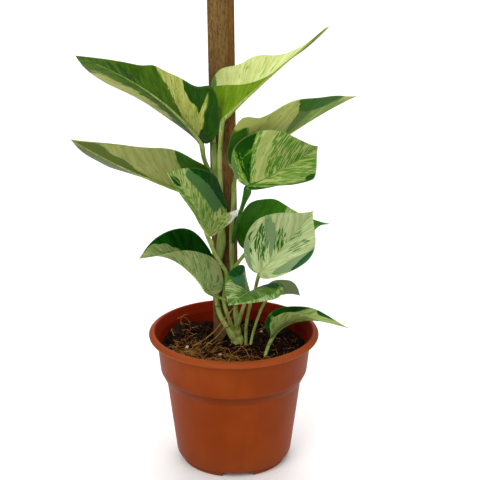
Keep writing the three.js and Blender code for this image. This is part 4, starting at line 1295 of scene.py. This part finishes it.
# The rise is at the wall, all round and then more at the left
SOIL_REACH = 54.4
SOIL_RISE = 1.6
SOIL_RISE_LEFT = 1.2
SOIL_EDGE = 51.3
SOIL_FLOOR = 5.8
SOIL_RINGS = 64
SOIL_SIDES = 200
# Radius and height of the soil's rings below its top, down along the pot's wall
LOWER_RINGS = [(50.5, 79), (49.9, 69), (45.7, 61.9), (39.3, 8.6), (38.5, SOIL_FLOOR)]
BED_RINGS = 12
BED_SIDES = 48
# Noise in features per metre: the lumps of a crumb, about 1 mm, and the bends of a fibre, 8 mm
CRUMB_LUMPS = 900.0
FIBRE_BENDS = 130.0
FIBRE_POINTS = 8
FIBRE_SIDES = 4
FULL_TURN = 6.28
# A fibre that lies further out than this is drawn back
FIBRE_LIMIT = 51
# A heap at the left back: its middle, its spread and its height
SOIL_HEAP = ((-37, 29), 13, 5.5)
# The height and the span of the lumps that roughen the top
SOIL_ROUGHNESS = [(1.5, 8), (1.1, 3), (0.6, 1.3)]
# Broad waves: height, turns along x and y in radians for a millimetre, and phase
SOIL_LUMPS = [(0.75, 0.36, 0.19, 0.4), (0.6, -0.23, 0.47, 1.9), (0.4, 0.71, 0.58, 3.1)]


def soil_height(x, y):
    """The soil's top without its crumbs: a shallow dish with broad waves, higher at the left."""
    height = SOIL_LEVEL + SOIL_RISE * ((x * x + y * y) / SOIL_REACH ** 2) ** 2
    height += SOIL_RISE_LEFT * max(0, -x / SOIL_REACH) ** 2
    for size, along_x, along_y, phase in SOIL_LUMPS:
        height += size * math.sin(along_x * x + along_y * y + phase)
    return height


def rough_soil_height(x, y):
    """The soil's top with its crumbs: lumps of about 8, 3 and 1.3 mm, heaped up at the left back."""
    lumps = sum(
        size * noise.noise(Vector((x / span, y / span, 7.3)))
        for size, span in SOIL_ROUGHNESS
    )
    middle, spread, height = SOIL_HEAP
    heap = height * math.exp(-(math.hypot(x - middle[0], y - middle[1]) / spread) ** 2)
    return soil_height(x, y) + heap + lumps * smooth(0, 4, SOIL_EDGE + 1.5 - math.hypot(x, y))


def soil_top_mesh(rings, sides, reach):
    """The soil's rough top as rings of points round the pot's middle, out to the reach."""
    points = [Vector((0, 0, rough_soil_height(0, 0)))]
    faces = []
    for ring in range(1, rings + 1):
        radius = reach * ring / rings
        for i in range(sides):
            angle = 2 * math.pi * i / sides
            x, y = radius * math.cos(angle), radius * math.sin(angle)
            points.append(Vector((x, y, rough_soil_height(x, y))))
    for i in range(sides):
        faces.append((0, 1 + i, 1 + (i + 1) % sides))
    for ring in range(rings - 1):
        low = 1 + ring * sides
        for i in range(sides):
            j = (i + 1) % sides
            faces.append((low + i, low + sides + i, low + sides + j, low + j))
    return points, faces


def wobbled(tree, geometry, scale, detail, amount):
    """Moves each point by smooth noise, at most by half the amount along each axis."""
    drift = add(tree, "ShaderNodeTexNoise", {"Scale": scale, "Detail": detail}).outputs["Color"]
    centred = add(tree, "ShaderNodeVectorMath", {0: drift, 1: (0.5, 0.5, 0.5)}, operation="SUBTRACT")
    offset = add(tree, "ShaderNodeVectorMath", {0: centred, "Scale": amount}, operation="SCALE")
    return add(tree, "GeometryNodeSetPosition", {"Geometry": geometry, "Offset": offset})


def crumb_tree():
    """Lumps of many turns and proportions, strewn over the soil."""
    tree, given = new_tree("crumbs_on_the_soil", [
        ("Top", "NodeSocketGeometry"), ("Density", "NodeSocketFloat"), ("Size", "NodeSocketFloat"),
        ("Roundness", "NodeSocketInt"), ("Seed", "NodeSocketInt"), ("Finish", "NodeSocketMaterial"),
    ])
    spots = add(tree, "GeometryNodeDistributePointsOnFaces", {
        "Mesh": given["Top"], "Density": given["Density"], "Seed": given["Seed"],
    })
    turn = add(tree, "FunctionNodeRandomValue", {
        0: (0.0, 0.0, 0.0), 1: (FULL_TURN, FULL_TURN, FULL_TURN), "Seed": given["Seed"],
    }, data_type="FLOAT_VECTOR")
    size = add(tree, "FunctionNodeRandomValue", {
        0: (0.45, 0.45, 0.35), 1: (1.3, 1.0, 0.8), "Seed": given["Seed"],
    }, data_type="FLOAT_VECTOR")
    crumb = add(tree, "GeometryNodeMeshIcoSphere", {
        "Radius": given["Size"], "Subdivisions": given["Roundness"],
    })
    laid = add(tree, "GeometryNodeInstanceOnPoints", {
        "Points": spots, "Instance": crumb, "Rotation": turn, "Scale": size,
    })
    whole = add(tree, "GeometryNodeRealizeInstances", {"Geometry": laid})
    rough = wobbled(tree, whole, CRUMB_LUMPS, 1.0, given["Size"])
    finish_tree(tree, rough, given["Finish"])
    return tree


def fibre_tree():
    """Bent hairs, many where the soil lies to the left and front, and fewer elsewhere."""
    tree, given = new_tree("fibres_on_the_soil", [
        ("Top", "NodeSocketGeometry"), ("Density", "NodeSocketFloat"), ("Thinned", "NodeSocketFloat"),
        ("Length", "NodeSocketFloat"), ("Thickness", "NodeSocketFloat"), ("Bend", "NodeSocketFloat"),
        ("Steepness", "NodeSocketFloat"), ("Limit", "NodeSocketFloat"),
        ("Seed", "NodeSocketInt"), ("Finish", "NodeSocketMaterial"),
    ])
    place = add(tree, "GeometryNodeInputPosition")
    parts = add(tree, "ShaderNodeSeparateXYZ", {0: place}).outputs
    crowd = add(tree, "ShaderNodeMapRange", {
        "Value": weighed(tree, 0.0, (parts[0], -0.5), (parts[1], -0.85)),
        "From Min": 2 * MM, "From Max": 26 * MM,
        "To Min": given["Thinned"], "To Max": given["Density"],
    })
    spots = add(tree, "GeometryNodeDistributePointsOnFaces", {
        "Mesh": given["Top"], "Density": crowd, "Seed": given["Seed"],
    })
    yaw = add(tree, "FunctionNodeRandomValue", {2: 0.0, 3: FULL_TURN, "Seed": given["Seed"]})
    pitch = add(tree, "FunctionNodeRandomValue", {2: 0.0, 3: given["Steepness"], "Seed": given["Seed"]})
    upward = add(tree, "ShaderNodeMath", {0: pitch, 1: -1.0}, operation="MULTIPLY")
    turn = add(tree, "ShaderNodeCombineXYZ", {1: upward, 2: yaw})
    size = add(tree, "FunctionNodeRandomValue", {2: 0.35, 3: 1.0, "Seed": given["Seed"]})
    end = add(tree, "ShaderNodeCombineXYZ", {0: given["Length"]})
    line = add(tree, "GeometryNodeCurvePrimitiveLine", {"End": end})
    divided = add(tree, "GeometryNodeResampleCurve", {"Curve": line, "Count": FIBRE_POINTS})
    laid = add(tree, "GeometryNodeInstanceOnPoints", {
        "Points": spots, "Instance": divided, "Rotation": turn, "Scale": size,
    })
    whole = add(tree, "GeometryNodeRealizeInstances", {"Geometry": laid})
    bent = wobbled(tree, whole, FIBRE_BENDS, 1.5, given["Bend"])
    # What would reach past the limit is drawn back towards the pot's middle
    spot = add(tree, "GeometryNodeInputPosition")
    level = add(tree, "ShaderNodeVectorMath", {0: spot, 1: (1, 1, 0)}, operation="MULTIPLY")
    far = add(tree, "ShaderNodeVectorMath", {0: level}, operation="LENGTH")
    share = add(tree, "ShaderNodeMath", {0: given["Limit"], 1: far}, operation="DIVIDE")
    kept = add(tree, "ShaderNodeMath", {0: share, 1: 1.0}, operation="MINIMUM")
    factors = add(tree, "ShaderNodeCombineXYZ", {0: kept, 1: kept, 2: 1.0})
    inward = add(tree, "ShaderNodeVectorMath", {0: spot, 1: factors}, operation="MULTIPLY")
    held = add(tree, "GeometryNodeSetPosition", {"Geometry": bent, "Position": inward})
    ring = add(tree, "GeometryNodeCurvePrimitiveCircle", {
        "Resolution": FIBRE_SIDES, "Radius": given["Thickness"],
    })
    skin = add(tree, "GeometryNodeCurveToMesh", {"Curve": held, "Profile Curve": ring, "Fill Caps": True})
    finish_tree(tree, skin, given["Finish"])
    return tree


def on_the_soil(name, tree, reach, values):
    """Scatters small things over the soil's top, out to the reach."""
    points, faces = soil_top_mesh(BED_RINGS, BED_SIDES, reach)
    top = make_piece(name + "_bed", points, faces, values["Finish"])
    run_tree(top, tree, values)
    piece = settle(top, name)
    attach(piece, "root")


# The place and the radius of each grain
PERLITE = [
    (-38.5, -16, 1.0), (-33, -2, 1.4), (-9.5, -12, 1.1), (20, 30, 1.0), (-28, 28, 0.9), (36, 12, 0.8),
]
# How lumpy a grain is, and how far its middle stands over the soil, as shares of its radius
PERLITE_LUMPS = 0.45
PERLITE_RISE = 0.5


def make_perlite():
    """A few lumpy grains, each a quarter sunk in the soil."""
    points, faces = [], []
    for n, (x, y, radius) in enumerate(PERLITE):
        ball = bmesh.new()
        bmesh.ops.create_icosphere(ball, subdivisions=3, radius=radius)
        start = len(points)
        for vert in ball.verts:
            lump = 1 + PERLITE_LUMPS * noise.noise(vert.co / radius * 1.3 + Vector((n * 5.1, 0, 0)))
            points.append(vert.co * lump + Vector((x, y, soil_height(x, y) + radius * PERLITE_RISE)))
        faces += [[start + v.index for v in face.verts] for face in ball.faces]
        ball.free()
    piece = make_piece("perlite_grains", points, faces, expanded_perlite())
    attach(piece, "root")


def make_soil():
    mix = potting_mix("moist_potting_mix", "0F0A07", "1C120C", "38261A")
    sides = SOIL_SIDES
    points, faces = soil_top_mesh(SOIL_RINGS, sides, SOIL_EDGE)
    last_ring = 1 + (SOIL_RINGS - 1) * sides
    for radius, z in LOWER_RINGS:
        start = len(points)
        for i in range(sides):
            angle = 2 * math.pi * i / sides
            points.append(Vector((radius * math.cos(angle), radius * math.sin(angle), z)))
        for i in range(sides):
            j = (i + 1) % sides
            faces.append((last_ring + i, start + i, start + j, last_ring + j))
        last_ring = start
    points.append(Vector((0, 0, SOIL_FLOOR)))
    for i in range(sides):
        faces.append((last_ring + (i + 1) % sides, last_ring + i, len(points) - 1))
    piece = make_piece("soil_bed", points, faces, mix, crease=80)
    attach(piece, "root")
    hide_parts("soil")

    crumbs = crumb_tree()
    bark = potting_mix("composted_bark_chips", "180E0A", "341A0E", "5A3018")
    on_the_soil("soil_crumbs", crumbs, 49, {
        "Density": 420000.0, "Size": 0.9 * MM, "Roundness": 1, "Seed": 4, "Finish": mix,
    })
    on_the_soil("bark_chips", crumbs, 47, {
        "Density": 38000.0, "Size": 2.1 * MM, "Roundness": 2, "Seed": 11, "Finish": bark,
    })
    fibres = fibre_tree()
    golden = dry_fibre("coir_fibre_golden", "BA8642", "7E4E1C")
    brown = dry_fibre("coir_fibre_brown", "5C3014", "34180A")
    on_the_soil("coir_fine", fibres, 44, {
        "Density": 240000.0, "Thinned": 12000.0, "Length": 13 * MM, "Thickness": 0.12 * MM,
        "Bend": 12 * MM, "Steepness": 0.5, "Limit": FIBRE_LIMIT * MM, "Seed": 3, "Finish": golden,
    })
    on_the_soil("coir_coarse", fibres, 43, {
        "Density": 60000.0, "Thinned": 20000.0, "Length": 10 * MM, "Thickness": 0.2 * MM,
        "Bend": 10 * MM, "Steepness": 0.4, "Limit": FIBRE_LIMIT * MM, "Seed": 8, "Finish": brown,
    })
    make_perlite()


# The whole scene

TUBES = tube_tree()

set_up_camera()
set_up_light()
make_floor()
make_leaves()
make_stem()
make_roots()
make_stake()
make_pot()
make_soil()
